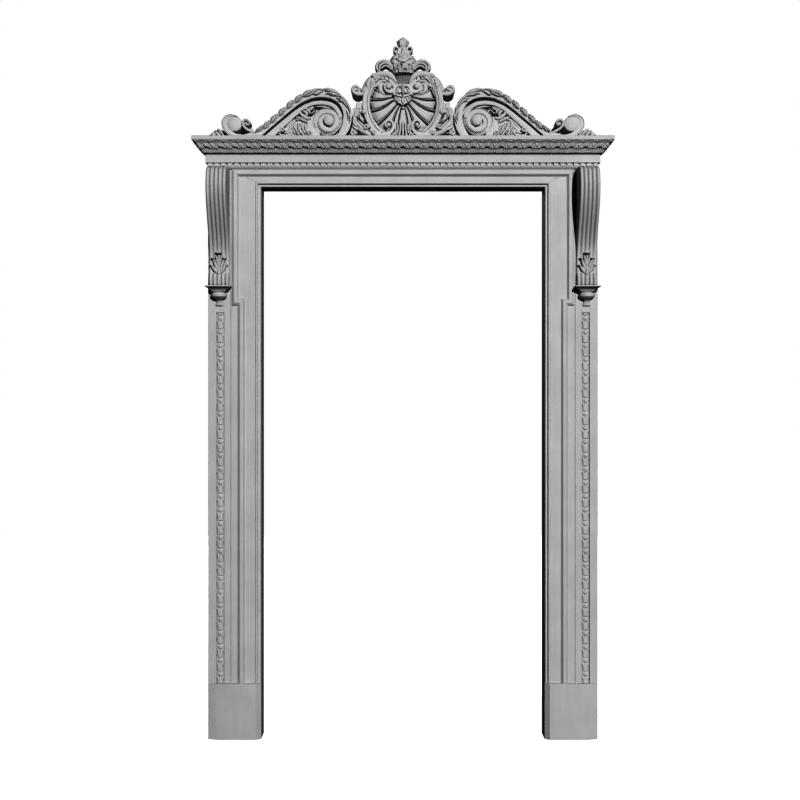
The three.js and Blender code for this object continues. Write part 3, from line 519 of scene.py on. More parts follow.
# %% Cornice
def cornice():
    """Front: out = depth + offset + relief along x; the returns turn the same section."""
    half = pilaster_outer + 8
    depth = half_depth(half)
    z = np.concatenate([np.linspace(0, 14, 15), [14.2, 15, 16], np.linspace(16.8, 46, 38),
        [46.3, 47, 61.4, 62.3]])
    offset = np.interp(z, [0, 0.6, 14, 14.2, 16, 33, 46, 46.3, 47, 61.4, 62.3],
                       [7.2, 8.2, 16.5, 19.6, 23.6, 32.6, 48.1, 49.1, 49.1, 48.9, 47.6])
    carved = (z > 0.5) & (z < 46.2)
    front = np.arange(-half, half + 0.01, 1.6)
    side = np.linspace(0, 1, 60)

    def moved(s, to_corner):
        fade = np.clip(to_corner / 5, 0, 1)[:, None] * carved
        return offset + cornice_relief(s[:, None], z[None, :]) * fade

    main = place(front[:, None] * (half + offset) / half, depth + moved(front, half - np.abs(front)),
        cornice_foot + z)
    reach = side[:, None] * (depth + offset)
    wing = half + moved(side * depth, (1 - side) * depth)
    left = place(-wing, reach, cornice_foot + z)
    right = place(wing, reach, cornice_foot + z)[::-1]
    body = np.concatenate([left, main, right])
    closing = body[:, [-1, 0]].copy()
    closing[..., 0] = np.clip(closing[..., 0], (20 - half) / 1000, (half - 20) / 1000)
    closing[..., 1] = 0
    return skin(np.concatenate([body, closing], axis=1))


piece("carved_cornice", [cornice()], "cornice", smooth=50)

# %% [markdown]
# ## Consoles
# A console is a bracket in the shape of a long S, 82 mm wide: a deep belly under the cornice, a slender waist
# and a small roll at the foot. Five convex reeds run over its front and bend with it. Two curves describe it:
# the profile seen from the side, and the reeds seen from above; the surface is their product.

# %% Console surface
console_width = 82
console_profile = np.array([
    [0, 16], [0.6, 18], [3, 20.5], [8, 23.4], [16, 25.6], [28, 26], [38, 24.5], [46, 21], [50.5, 16.5],
    [51.5, 11], [78, 11], [104, 12], [128, 14.5], [147, 18.5], [166, 24.5], [185, 32], [204, 41], [222, 51],
    [241, 62], [260, 72.5], [278, 83], [297, 93], [316, 102], [335, 109.5], [354, 115], [373, 118.5],
    [392, 119.8], [407, 118], [425, 113], [445, 108], [454, 102], [461, 92], [466, 80], [468, 72],
])


def console_body():
    """Depth over the pilaster = profile(height) less the reeds' hollow, shallow where the bracket is thin."""
    height = np.concatenate([np.linspace(0, 50, 26), np.linspace(51, 440, 98), np.linspace(443, 468, 14)])
    depth = np.interp(height, console_profile[:, 0], console_profile[:, 1])
    across = np.linspace(-1, 1, 81)
    reed = np.abs(np.sin(np.pi * (across + 1) / 2 * 5)) ** 0.6
    hollow = (1 - reed) * 9
    shoulder = 9 * np.clip((np.abs(across) - 0.9) / 0.1, 0, 1) ** 2
    drop = (hollow + shoulder)[None, :] * np.clip(depth / 26, 0.35, 1)[:, None]
    out = board + np.maximum(depth[:, None] - drop, 0.6)
    x = pilaster_axis + across[None, :] * console_width / 2 + 0 * out
    scallop = 7 * (1 - reed)[None, :] * np.clip(1 - height / 16, 0, 1)[:, None]
    z = console_foot + height[:, None] + scallop
    sides = [place(x[:, k], board + seam, z[:, k])[:, None] for k in (-1, 0)]
    return skin(np.concatenate([place(x, out, z)] + sides, axis=1))

# %% [markdown]
# ## Leaves, ribbons and bosses
# The rest of the carving needs few forms. A leaf is a strip along a bent midrib, wide in the middle, cut into
# lobes and hollowed along the midrib. A ribbon is a section carried along a smooth curve, and a strip is one
# whose two edges are drawn apart. A plate is a board and a boss a dome. Everything from the acanthus to the
# volutes is made of these, as a carver uses the sweep of a few gouges again and again.

# %% Leaves
def leaf(stem, length, width, angle, foot, crown, bend=0, lobes=0, notch=0.3, groove=2):
    """Midrib = an arc from the stem; half width = lobed arch of u; rise = (1 - v^2)^0.5, less a groove."""
    rows = max(9, lobes * 6 + 3)
    u = np.linspace(0, 1, rows)
    v = np.linspace(-1, 1, 11)
    heading = np.radians(angle + bend * (u - 0.5))
    step = length / (rows - 1)
    ahead = np.stack([np.cos(heading), np.sin(heading)], axis=-1)
    travelled = np.cumsum(ahead[:-1] + ahead[1:], axis=0) * step / 2
    middle = np.array(stem)[:, None].T + np.vstack([[0, 0], travelled])
    outline = np.sin(np.pi * np.clip(u, 0.01, 0.985) ** 0.75) ** 0.7
    saw = (u * lobes) % 1 if lobes else 0 * u
    half = width / 2 * outline * (1 - notch * saw ** 3)
    x = middle[:, :1] - ahead[:, 1:] * half[:, None] * v
    z = middle[:, 1:] + ahead[:, :1] * half[:, None] * v
    body = np.clip(outline * 1.6, 0, 1)[:, None] * (1 - v ** 2) ** 0.5
    veins = np.cos(2 * np.pi * (u[:, None] * lobes - 0.35 * np.abs(v))) * 0.12 * np.abs(v) if lobes else 0
    out = foot + (crown - foot) * body * (1 + veins) - groove * np.exp(-(v / 0.22) ** 2) * outline[:, None]
    back = place(x[:, [-1, 0]], foot - 0.5, z[:, [-1, 0]])
    return skin(np.concatenate([place(x, np.maximum(out, foot), z), back], axis=1))


# %% Ribbons
def smooth_curve(points, count):
    """Catmull-Rom through the points in equal steps: places, unit directions and places in the list."""
    points = np.asarray(points, float)
    padded = np.vstack([2 * points[0] - points[1], points, 2 * points[-1] - points[-2]])
    t = np.linspace(0, len(points) - 1, 40 * len(points))
    k = np.minimum(t.astype(int), len(points) - 2)
    f = (t - k)[:, None]
    a, b, c, d = (padded[k + i] for i in range(4))
    square, cube = (2 * a - 5 * b + 4 * c - d) * f ** 2, (3 * b - a - 3 * c + d) * f ** 3
    fine = 0.5 * (2 * b + (c - a) * f + square + cube)
    length = np.concatenate([[0], np.cumsum(np.linalg.norm(np.diff(fine, axis=0), axis=1))])
    even = np.linspace(0, length[-1], count)
    place_on = np.stack([np.interp(even, length, fine[:, axis]) for axis in (0, 1)], axis=-1)
    ahead = np.gradient(place_on, axis=0)
    return place_on, ahead / np.linalg.norm(ahead, axis=1, keepdims=True), np.interp(even, length, t) / t[-1]


v_round = np.sin(np.radians(np.linspace(-90, 90, 13)))
round_top = np.stack([v_round, 1 - np.sqrt(1 - v_round ** 2)], axis=-1)
plain_top = np.array([[-1, 0.12], [-0.94, 0], [0.94, 0], [1, 0.12]])
volute_top = np.array([
    [-1, 0.4], [-0.95, 0.04], [-0.9, 0], [-0.74, 0], [-0.7, 0.16], [-0.62, 0.42], [-0.4, 0.34], [0, 0.16],
    [0.4, 0.05], [0.7, 0.02], [0.88, 0.1], [0.97, 0.4], [1, 1],
])


def carried(middle, ahead, half, section, foot, top, depth):
    """A closed shell over a section of (v, share of depth under the top), carried along a line."""
    v, below = section[:, 0], section[:, 1]
    x = middle[:, :1] - ahead[:, 1:] * half * v
    z = middle[:, 1:] + ahead[:, :1] * half * v
    out = np.maximum(top - below * depth, foot + 0.5)
    back = place(x[:, [-1, 0]], foot, z[:, [-1, 0]])
    return skin(np.concatenate([place(x, out, z), back], axis=1))


def ribbon(points, widths, foot, crown, depth=8, count=60, section=round_top):
    """A section along a curve through points; widths and crowns are spread evenly over the list of points."""
    middle, ahead, t = smooth_curve(points, count)
    half = np.interp(t, np.linspace(0, 1, len(widths)), widths)[:, None] / 2
    top = np.interp(t, np.linspace(0, 1, np.size(crown)), np.atleast_1d(crown))[:, None]
    return carried(middle, ahead, half, section, foot, top, depth)


def strip(first, second, foot, crown, depth, count, section=plain_top):
    """A band between two edges drawn apart: middle = their mean, half width = half their distance."""
    a, b = smooth_curve(first, count)[0], smooth_curve(second, count)[0]
    across = b - a
    half = np.linalg.norm(across, axis=1, keepdims=True) / 2
    ahead = np.stack([across[:, 1], -across[:, 0]], axis=-1) / (2 * half)
    top = np.interp(np.linspace(0, 1, count), np.linspace(0, 1, np.size(crown)),
        np.atleast_1d(crown))[:, None]
    return carried((a + b) / 2, ahead, half, section, foot, top, depth)


def lifted(points):
    """Points given over the cornice's top, moved to their height over the floor."""
    return [(x, z + pediment_foot) for x, z in points]


def strand(points, widths, foot, crown, depth=8, count=60, section=round_top):
    """A ribbon through points that are given over the cornice's top."""
    return ribbon(lifted(points), widths, foot, crown, depth, count, section)


def strands(forms, foot, under, depth, count):
    """A strand for each row of points, widths and top; `under` says how far below that top its crown lies."""
    return [strand(points, widths, foot, [top - less for less in under], depth, count) for points, widths,
        top in forms]


def plate(outline, foot, crown):
    """A flat board over the cornice's top, cut to an outline whose middle sees every corner."""
    corners = np.asarray(lifted(outline), float)
    return skin(np.stack([place(corners[:, 0], out, corners[:, 1]) for out in (foot, crown)]))


def spiral(x, z, start_radius, end_radius, start, end, count=40):
    """Points of a spiral: the radius changes evenly with the angle, in degrees."""
    angle = np.radians(np.linspace(start, end, count))
    radius = np.linspace(start_radius, end_radius, count)
    return np.stack([x + radius * np.cos(angle), z + radius * np.sin(angle)], axis=-1)

# %% Bosses
def boss(x, z, radius, foot, crown, rise=None, tall=1.0, sides=28):
    """A dome on an upright wall: ring radius = radius * cos(a), out = wall's top + rise * sin(a)."""
    rise = (crown - foot) * 0.4 if rise is None else rise
    angle = np.radians(np.linspace(0, 84, 8))[:, None]
    turn = np.linspace(0, 2 * np.pi, sides, endpoint=False)[None, :]
    scale = np.vstack([[1.0], np.cos(angle)])
    out = np.vstack([[foot], crown - rise + rise * np.sin(angle)])
    return skin(place(x + radius * scale * np.cos(turn), out + 0 * turn,
        z + tall * radius * scale * np.sin(turn)))


# %% Acanthus on the console
def console_leaf():
    """A stalk, four pairs of ribbons that lean outwards, and bosses as the hoods over their tips."""
    foot, stem = board + 3, console_foot + 50
    front = board + 12
    shells = [ribbon([(pilaster_axis, stem - 4), (pilaster_axis, stem + 30), (pilaster_axis, stem + 74)],
                     [13, 10, 8], foot, [front + 12, front + 10, front + 9], count=24)]
    for side in (-1, 1):
        for low, reach, across, width, top in ((30, 74, 13, 10, 10), (8, 60, 23, 13, 11), (0, 32, 30, 15, 10),
                                               (0, 20, 22, 10, 8)):
            points = [
                (pilaster_axis + side * 4, stem + low),
                (pilaster_axis + side * across * 0.45, stem + low + (reach - low) * 0.4),
                (pilaster_axis + side * across, stem + reach),
            ]
            shells.append(ribbon(points, [5, width, width, 5], foot,
                [front + 4, front + top, front + top + 4], depth=7, count=24))
        shells += [
            boss(pilaster_axis + side * 23, stem + 61, 8, foot, front + 21, rise=7, tall=0.45),
            boss(pilaster_axis + side * 31, stem + 33, 6, foot, front + 15, rise=6, tall=0.5),
        ]
    shells += [
        boss(pilaster_axis, stem + 83, 14, foot, front + 26, rise=8, tall=0.36),
        boss(pilaster_axis, stem + 87, 7, foot, front + 22, rise=8, tall=0.6),
    ]
    return shells


pair("console", [console_body()] + console_leaf())

# %% [markdown]
# ## Turned drops
# Under each console hangs a small turned drop: a square abacus with a cyma under it, a fat bulb, a slim neck
# and a spreading foot. The round part is turned on the lathe, split and planed to lie flat on the pilaster.

# %% Drops
def drop():
    """Square rings of the abacus, and a lathe profile whose depth is flattened by a share for every ring."""
    top = console_foot - seam
    levels = [(0, 98), (0.8, 99), (4.2, 99), (5, 97), (6.5, 90), (9, 80), (13, 68), (18, 58.5), (22, 55)]
    square = []
    for down, width in levels:
        out = board + seam + np.array([0, 0, 1, 1]) * width * 0.62
        square.append(place(pilaster_axis + np.array([-1, 1, 1, -1]) * width / 2, out, top - down))
    bulb = np.array([
        [0, 11], [1, 20], [4, 26], [9, 30.5], [15, 32.3], [20, 31], [25, 26], [29, 20], [32, 14.5],
        [35, 11.8], [39, 11.4], [43, 12.2], [48, 14.2], [52, 16], [54, 16.4], [55, 16],
    ])
    turn = np.linspace(0, 2 * np.pi, 40, endpoint=False)[None, :]
    share = np.interp(bulb[:, :1], [0, 28, 36, 55], [1, 1, 0.75, 0.4])
    stand_off = np.interp(bulb[:, :1], [0, 20, 40, 55], [13.5, 13.5, 4, 2])
    out = board + seam + stand_off + share * bulb[:, 1:] * np.sin(turn)
    x = pilaster_axis + bulb[:, 1:] * np.cos(turn)
    rings = place(x, np.maximum(out, board + seam), top - 22 - bulb[:, :1] + 0 * turn)
    return [skin(np.stack(square)), skin(rings)]


pair("console_drop", drop())

# %% [markdown]
# ## Scroll pediment
# Each half is one long scroll. It starts in a small curl at the end of the cornice, sweeps up under a garland
# of leaves, turns over at the crest and winds down into a large volute. A deep groove parts the outer band
# from the inner one, and acanthus fills the corner under the slope.

# %% Bands of the scroll
web = 66
garland_edge = [
    (600, 30), (584, 42), (556, 65), (503, 111), (449, 156), (395, 193), (360, 203), (324, 205), (288, 198),
    (253, 178), (225, 151), (207, 119), (205, 84), (216, 40), (240, 4),
]
gap_line = np.array([
    (574, 2), (561, 14), (528, 43), (493, 73), (456.5, 103.5), (437.5, 119), (419.5, 132), (401, 143.5),
    (382, 152), (365, 158.6), (347, 161.7), (330, 162.8), (313, 161.7), (295, 158.6), (279, 152), (263, 141),
    (251, 124), (243.5, 106), (241, 88),
])
gap_half = np.array([4.7, 4.6, 4.6, 4.7, 4.9, 5.2, 5.6, 6, 6.6, 7, 7.2, 7.2, 7.2, 7, 6.6, 6, 5, 3.6, 1.5])
inner_edge = [
    (528, 0), (514, 15), (478, 49), (452, 72), (434, 89), (417, 103), (407, 113), (384, 127.5), (372, 134),
    (354, 138), (335, 139), (312, 138), (294, 133), (280, 125), (269, 113), (262, 100), (259, 86),
]
volute_edge = np.array([
    (295, 151.5), (279, 145), (266, 136), (255, 122), (247, 108), (243, 90), (243, 74), (247, 58), (255, 43),
    (267, 30), (281, 21), (298, 17), (316, 18.5), (334, 26), (348, 38), (358, 53), (363, 70), (361, 86),
    (353, 103), (339, 117), (322, 125), (303, 126.5), (284, 123), (268, 113), (256, 98), (251, 80),
    (253, 62), (261, 46), (274, 34), (290, 27), (306, 27), (321, 32), (333, 42), (340, 56), (341, 72),
    (336, 87), (325, 98), (311, 104), (296, 104), (283, 98), (275, 88), (272, 76), (275, 64), (284, 55),
    (297, 52),
])
volute_eye = np.array([297, 76.5])
snail_top = np.array([
    [-1, 0.55], [-0.97, 0.14], [-0.91, 0], [-0.8, 0], [-0.74, 0.6], [-0.54, 0.65], [-0.46, 0.06], [0, 0],
    [0.8, 0], [1, 0.1],
])


def beside(line, distance):
    """Points moved to the left of a line by a distance of their own: p + distance * (-ahead_z, ahead_x)."""
    ahead = np.gradient(line, axis=0)
    ahead /= np.linalg.norm(ahead, axis=1, keepdims=True)
    return line + distance[:, None] * np.stack([-ahead[:, 1], ahead[:, 0]], axis=-1)


def scroll_bands():
    """Outer band, the sunk channel, inner band, and the volute, whose turns step up towards the eye."""
    outer_side, inner_side = beside(gap_line, -gap_half), beside(gap_line, gap_half)
    tail = [(244, 60), (258, 28), (276, 4)]
    inset = np.interp(np.arange(15), [0, 1, 2, 5, 6, 14], [0, 2, 4, 4, 0, 0])
    crest = beside(np.array(garland_edge, float), inset)
    shells = [
        strip(lifted(crest), lifted([*outer_side, *tail]), 0, 88, 4, 120),
        strip(lifted(inner_side), lifted(inner_edge), web - 10, 90, 4, 110),
        strip(lifted(outer_side), lifted(inner_side), 0, 44, 1, 60),
    ]
    away = volute_eye - volute_edge
    widths = np.interp(np.arange(len(volute_edge)), [0, 6, 12, 18, 26, 34, 44], [17, 20, 24, 24, 22, 19, 16])
    middle = volute_edge + away / np.linalg.norm(away, axis=1, keepdims=True) * widths[:, None] / 2
    crown = np.interp(np.arange(len(volute_edge)), [0, 6, 12, 18, 22, 26, 34, 40, 44],
        [89, 86, 84, 85, 88, 90, 94, 98, 99])
    shells += [
        strand(middle, widths, web - 10, crown, 8, 260, snail_top),
        boss(298, pediment_foot + 73, 52, 0, 83, rise=2, sides=48),
        boss(297, pediment_foot + 76, 21, web, 104, rise=7, sides=40),
        strand([(352, 132), (334, 133), (314, 131.5), (296, 126), (284, 117)], [3, 7, 8, 7, 4], web, 86, 4,
            30),
        plate([(560, 0), (520, 38), (478, 75), (430, 116), (384, 146), (330, 154), (280, 140), (250, 100),
            (270, 0)], 0, web - 6),
    ]
    return shells


# %% Garland
def scroll_garland():
    """A convex edge with leaves on it: groups of a base leaf and three strands, then long strands."""
    line = np.array(garland_edge[1:14])
    ridge = beside(line, np.interp(np.arange(13), [0, 2, 4, 6, 9, 12], [10, 14, 14, 12.5, 12.5, 6]))
    shells = [strand(ridge, [12, 20, 20, 20, 22, 25, 25, 25, 25, 25, 22, 16, 8], 60, 87, 7, 110)]
    for x, z, slope, size in (
            (583, 37, 32, 0.6), (571, 43.5, 36, 0.75), (547.4, 57.5, 40, 0.95), (518.7, 82, 41, 1),
            (486.6, 110, 41, 1), (453.5, 139, 40, 1), (420.5, 162.5, 36, 1), (388, 183, 27, 0.95),
    ):
        heading = math.radians(180 - slope)
        along = np.array([math.cos(heading), math.sin(heading)])
        across = np.array([along[1], -along[0]])
        for step, side, lean, length, width, top in (
                (0, 0.5, 24, 40, 26, 96), (-7, 1, 30, 30, 9, 102), (3, 0, 26, 36, 9, 104),
                (12, -1, 20, 26, 8, 100),
        ):
            angle = math.radians(180 - slope - lean)
            middle = np.array([x, z + pediment_foot]) + along * step * size + across * side
            ahead = np.array([math.cos(angle), math.sin(angle)])
            points = [
                middle - ahead * length * size / 2, middle - across * 1.5 * size,
                middle + ahead * length * size / 2,
            ]
            shells.append(ribbon(points, np.array([3, width, width * 1.1, width * 0.9, 3]) * size, 76,
                                 [top - 6, top, top - 5], 12, 18))
    lines = [
        ([(397, 174), (377, 188), (356, 196.5), (331, 202)], 11),
        ([(392, 170), (374, 178), (359, 187), (345, 195)], 9),
        ([(361, 181), (346, 181), (330, 190), (313, 197)], 9),
        ([(330, 199.5), (300, 200), (274, 193), (252, 181.5)], 12),
        ([(311, 183), (292, 184), (274, 181), (252, 172)], 10),
        ([(312, 193), (286, 192), (264, 185), (240, 169)], 10),
        ([(294, 176.5), (274, 177), (254, 172.5)], 7),
        ([(264, 180), (242, 166), (226, 148), (214, 126)], 11),
        ([(268, 167), (250, 160), (234, 145), (220, 122)], 9), ([(261, 153.5), (244, 153), (231, 141)], 7),
        ([(228, 148), (216, 128), (211, 104)], 9), ([(226, 116), (219, 96), (220, 76)], 7),
        ([(216, 104), (211.5, 84), (216, 64)], 7),
    ]
    for points, width in lines:
        shells.append(strand(points, [width * 0.4, width, width, width * 0.4], 80, [94, 101, 100, 94], 10,
            36))
    return shells


# %% The end curl
def scroll_end():
    """The sweep that rolls up round a domed eye, a curl inside it, and leaves and strands beyond it."""
    sweep = [(569, 18), (580, 17), (595, 14), (613, 11), (640, 6), (668, 12), (690, 23), (708, 37), (719, 56),
             (719, 76), (708, 90.5), (692, 97), (676, 96), (664, 92)]
    shells = [
        strand(sweep, [36, 35, 34, 32, 28, 22, 20, 19, 18, 16, 12, 8, 5, 3], 0, [86, 86, 87, 88], 6, 110,
            snail_top),
        boss(676.5, pediment_foot + 63, 30.5, 0, 91, rise=9, sides=44),
        boss(690, pediment_foot + 64, 33, 0, 86, rise=3, sides=36),
        plate([(724, 0), (716, 40), (650, 60), (612, 60), (588, 34), (560, 0)], 0, 30),
    ]
    curl = [(578, 24), (600, 29), (616, 36), (631, 45), (641, 56), (643, 68), (637, 77), (627, 78), (618, 71),
            (617, 62), (623, 57), (629, 61)]
    shells += [
        strand(curl, [8, 10, 12, 12, 12, 11, 10, 10, 9, 8, 7, 5], 24, [88, 92, 94, 90], 7, 70),
        strand([(640, 54), (647, 66), (642, 77)], [8, 9, 7], 0, [66, 68, 66], 6, 20),
        boss(629, pediment_foot + 67, 10, 20, 82, rise=8),
    ]
    for x, z, length, angle in ((722, 22, 34, 44), (728, 16, 44, 34), (736, 12, 52, 20), (748, 8, 46, 12),
                                (742, 20, 30, 56), (764, 10, 30, 30)):
        shells.append(leaf((x, z + pediment_foot), length, 13, angle, 20, 64, bend=18, lobes=2))
    shells.append(plate([(712, 0), (712, 38), (734, 46), (752, 46), (764, 38), (771, 24), (770, 0)], 0, 46))
    for points, width, top in (
            ([(722, 20), (734, 36), (748, 48)], 15, 66), ([(730, 12), (746, 28), (760, 42)], 15, 64),
            ([(734, 4), (752, 14), (768, 32)], 14, 60), ([(764, 6), (780, 14), (795, 12)], 10, 50),
    ):
        shells.append(strand(points, [width * 0.6, width, width * 0.5], 10, [top - 4, top, top - 6], 9, 24))
    shells.append(boss(763, pediment_foot + 24, 9.5, 20, 72, rise=8))
    return shells


# %% Acanthus under the slope
def scroll_foliage():
    """Acanthus in the corner under the slope: a cut stub, a stalk, leaves of ribbons and three curls."""
    shells = [
        plate([(384, 78), (384, 0), (330, 0), (336, 40), (356, 50), (362, 84)], 0, 83),
        plate([(476, 46), (434, 85), (428, 60), (434, 34), (456, 24), (474, 36)], 0, 82),
        plate([(452, 0), (452, 58), (430, 88), (384, 90), (384, 0)], 0, 78),
    ]
    forms = [
        ([(413, 113), (410, 104), (401, 95.5), (391, 88.5), (380.5, 84.5), (370, 88)], 12, 94),
        ([(401, 113), (391, 110), (386, 101), (389, 94)], 11, 95),
        ([(394, 123), (384, 120), (377, 113), (373, 104)], 9, 92),
        ([(382, 119), (370, 125), (358, 131.5)], 13, 90), ([(378, 123.5), (368, 129.5), (360, 134)], 4, 93),
        ([(371, 105), (363, 108), (351, 121)], 6, 89),
        ([(428, 90), (414, 86), (399, 78), (383, 70)], 11, 92),
        ([(426, 93), (412, 89), (398, 81.5), (386, 76)], 4, 94), ([(430, 84), (424, 79), (418, 82)], 7, 90),
        ([(433, 74), (437, 53), (428, 39), (421, 20)], 8, 90),
        ([(421, 67), (417, 45), (406, 28), (397, 14)], 9, 92), ([(404, 62), (400, 40), (391, 23)], 8, 91),
        ([(393, 60), (389, 40), (384, 28)], 8, 89), ([(446, 54), (441, 39), (433, 22)], 7, 88),
        ([(412, 68), (409, 54), (413, 44)], 8, 86), ([(472, 46), (455, 62), (438, 78)], 10, 86),
        ([(462, 38), (450, 48), (440, 62)], 9, 87),
        ([(499, 27), (487, 17.5), (468, 16), (453, 21), (443, 30)], 10, 89),
        ([(478, 28), (464, 27), (452, 33)], 8, 91),
    ]
    taper = np.array([0.75, 1.25, 1.25, 0.85])
    shells += strands([(points, taper * width, top) for points, width, top in forms], web - 8, (3, 0, 2), 8,
        30)
    for x, z, radius, start, way in ((485, 38, 11, 300, 1), (417, 30, 10, 250, 1), (376, 25, 11, 290, -1)):
        shells += [
            ribbon(spiral(x, z + pediment_foot, radius, radius * 0.3, start, start + way * 440, 30), [8, 5],
                web - 8, [91, 96], 6, 44),
            boss(x, z + pediment_foot, radius * 0.8, web - 8, 86),
        ]
    return shells


# %% Scroll
side_joint = 0.2023


def trimmed(shell):
    """The shell with nothing below the cornice's top or past the joint beside the cartouche."""
    points, quads, triangles = shell
    points = points.copy()
    points[:, 2] = np.maximum(points[:, 2], (pediment_foot + floor_level) / 1000)
    points[:, 0] = np.maximum(points[:, 0], side_joint)
    return points, quads, triangles


scroll = scroll_bands() + scroll_garland() + scroll_end() + scroll_foliage()
pair("pediment_scroll", [trimmed(shell) for shell in scroll], smooth=45)

# %% [markdown]
# ## Shell cartouche
# The middle of the pediment is a scallop shell in a round frame. Its flutes spring from a calyx at the hinge
# and spread downwards. Two leafy shoulders climb over the frame and roll into volutes beside the neck of the
# finial, and hooks and leaves fill both flanks.

# %% Shell
shell_centre = pediment_foot + 143.3
rays = [np.array(line, float) for line in (
    [(32, 171), (43, 169.5), (51, 166.5), (60, 164), (74, 160.5), (93, 158.2), (112, 158.5), (133, 160.3)],
    [(26, 166), (34, 160), (43, 153.5), (60, 140.4), (76, 130.4), (92, 122), (106, 117), (131, 113)],
    [(17, 152), (27, 136), (40, 118.5), (53, 103.5), (65, 91), (78, 79), (92, 67), (104, 58.5)],
    [(10, 144), (15, 134), (21, 120.5), (27, 106.5), (32, 91), (37, 75), (42, 52), (50, 22)],
    [(5, 144), (8, 130), (11, 114), (14, 98), (17, 80), (19, 64), (21, 46), (22, 30)],
)]
neck_foot = 226
petal_top = np.stack([v_round, np.abs(v_round) ** 9], axis=-1)
petal_crown = [60, 80, 86, 88, 88, 88, 88, 87, 84, 74]


def petal(upper, lower, crown=petal_crown, cut=False):
    """A flute between two rays, whose top turns down at the frame; a cut end leaves a notch."""
    if cut:
        lower = np.vstack([lower[:-1], lower[-2] + (lower[-1] - lower[-2]) * 0.55])
    return strip(lifted(upper), lifted(lower), 50, crown, 16, 44, petal_top)


def half_shell():
    """Flutes of the right-hand side: each has a thin gap above it and a bead beside the gap below it."""
    gap, bead = np.linspace(0.7, 2.1, 8), np.linspace(0.8, 4.6, 8)
    top_edge = np.array([(34, 181), (47, 180), (61, 178.6), (76, 179.5), (88, 185), (100, 193), (113, 204)])
    shells = [
        petal(top_edge, beside(rays[0], gap + bead * 0.8), cut=True),
        petal(beside(rays[0], gap + bead * 0.7), beside(rays[0], gap), 86),
    ]
    for upper, lower in ((0, 1), (1, 2), (2, 3)):
        shells += [
            petal(beside(rays[upper], -gap), beside(rays[lower], gap + bead), cut=lower < 3),
            petal(beside(rays[lower], gap + bead - 0.5), beside(rays[lower], gap), 86),
        ]
    shells.append(petal(beside(rays[3], -gap * 0.7), beside(rays[4], gap * 0.5)))
    rim = [(62, 178), (82, 180.5), (98, 190.5), (112, 203), (121, 188), (126, 174)]
    shells.append(strand(rim, [2, 3, 4, 5, 5, 4], 48, [86, 90, 93, 92], 5, 50))
    return shells


def shell():
    """Plate, centre flute, the flutes of both sides, and the round frame with its inner rim."""
    edge = beside(rays[4], -np.linspace(0.5, 1.2, 8))
    backing = boss(0, shell_centre, 158, 0, 48, rise=3, sides=64)
    backing[0][:, 2] = np.minimum(backing[0][:, 2], (pediment_foot + floor_level + neck_foot) / 1000)
    shells = [backing, petal(edge, edge * [-1, 1])]
    shells += half_shell() + mirrored(half_shell())
    ring = spiral(0, shell_centre, 147.5, 147.5, 126, 414, 90)
    frame_section = np.array([[-1, 0.5], [-0.96, 0.16], [-0.88, 0.04], [-0.6, 0], [-0.2, 0.06], [0.16, 0.16],
                              [0.22, 0.5], [0.3, 0.06], [0.7, 0.1], [0.86, 0.3], [0.96, 0.7], [1, 1]])
    shells.append(ribbon(ring, [32, 32], 0, 95, 11, 150, frame_section))
    return shells


# %% Shoulders
ring_edge = np.array([
    (100, 258), (80, 266), (58, 264), (40, 252), (28, 236), (22, 218), (23, 203), (31, 191), (43, 185),
    (57, 185.5), (68, 191), (75, 201), (77, 212), (73, 222), (64, 227), (54, 226.5), (46.5, 220), (45, 211),
    (49, 203.5), (57, 200.5),
])


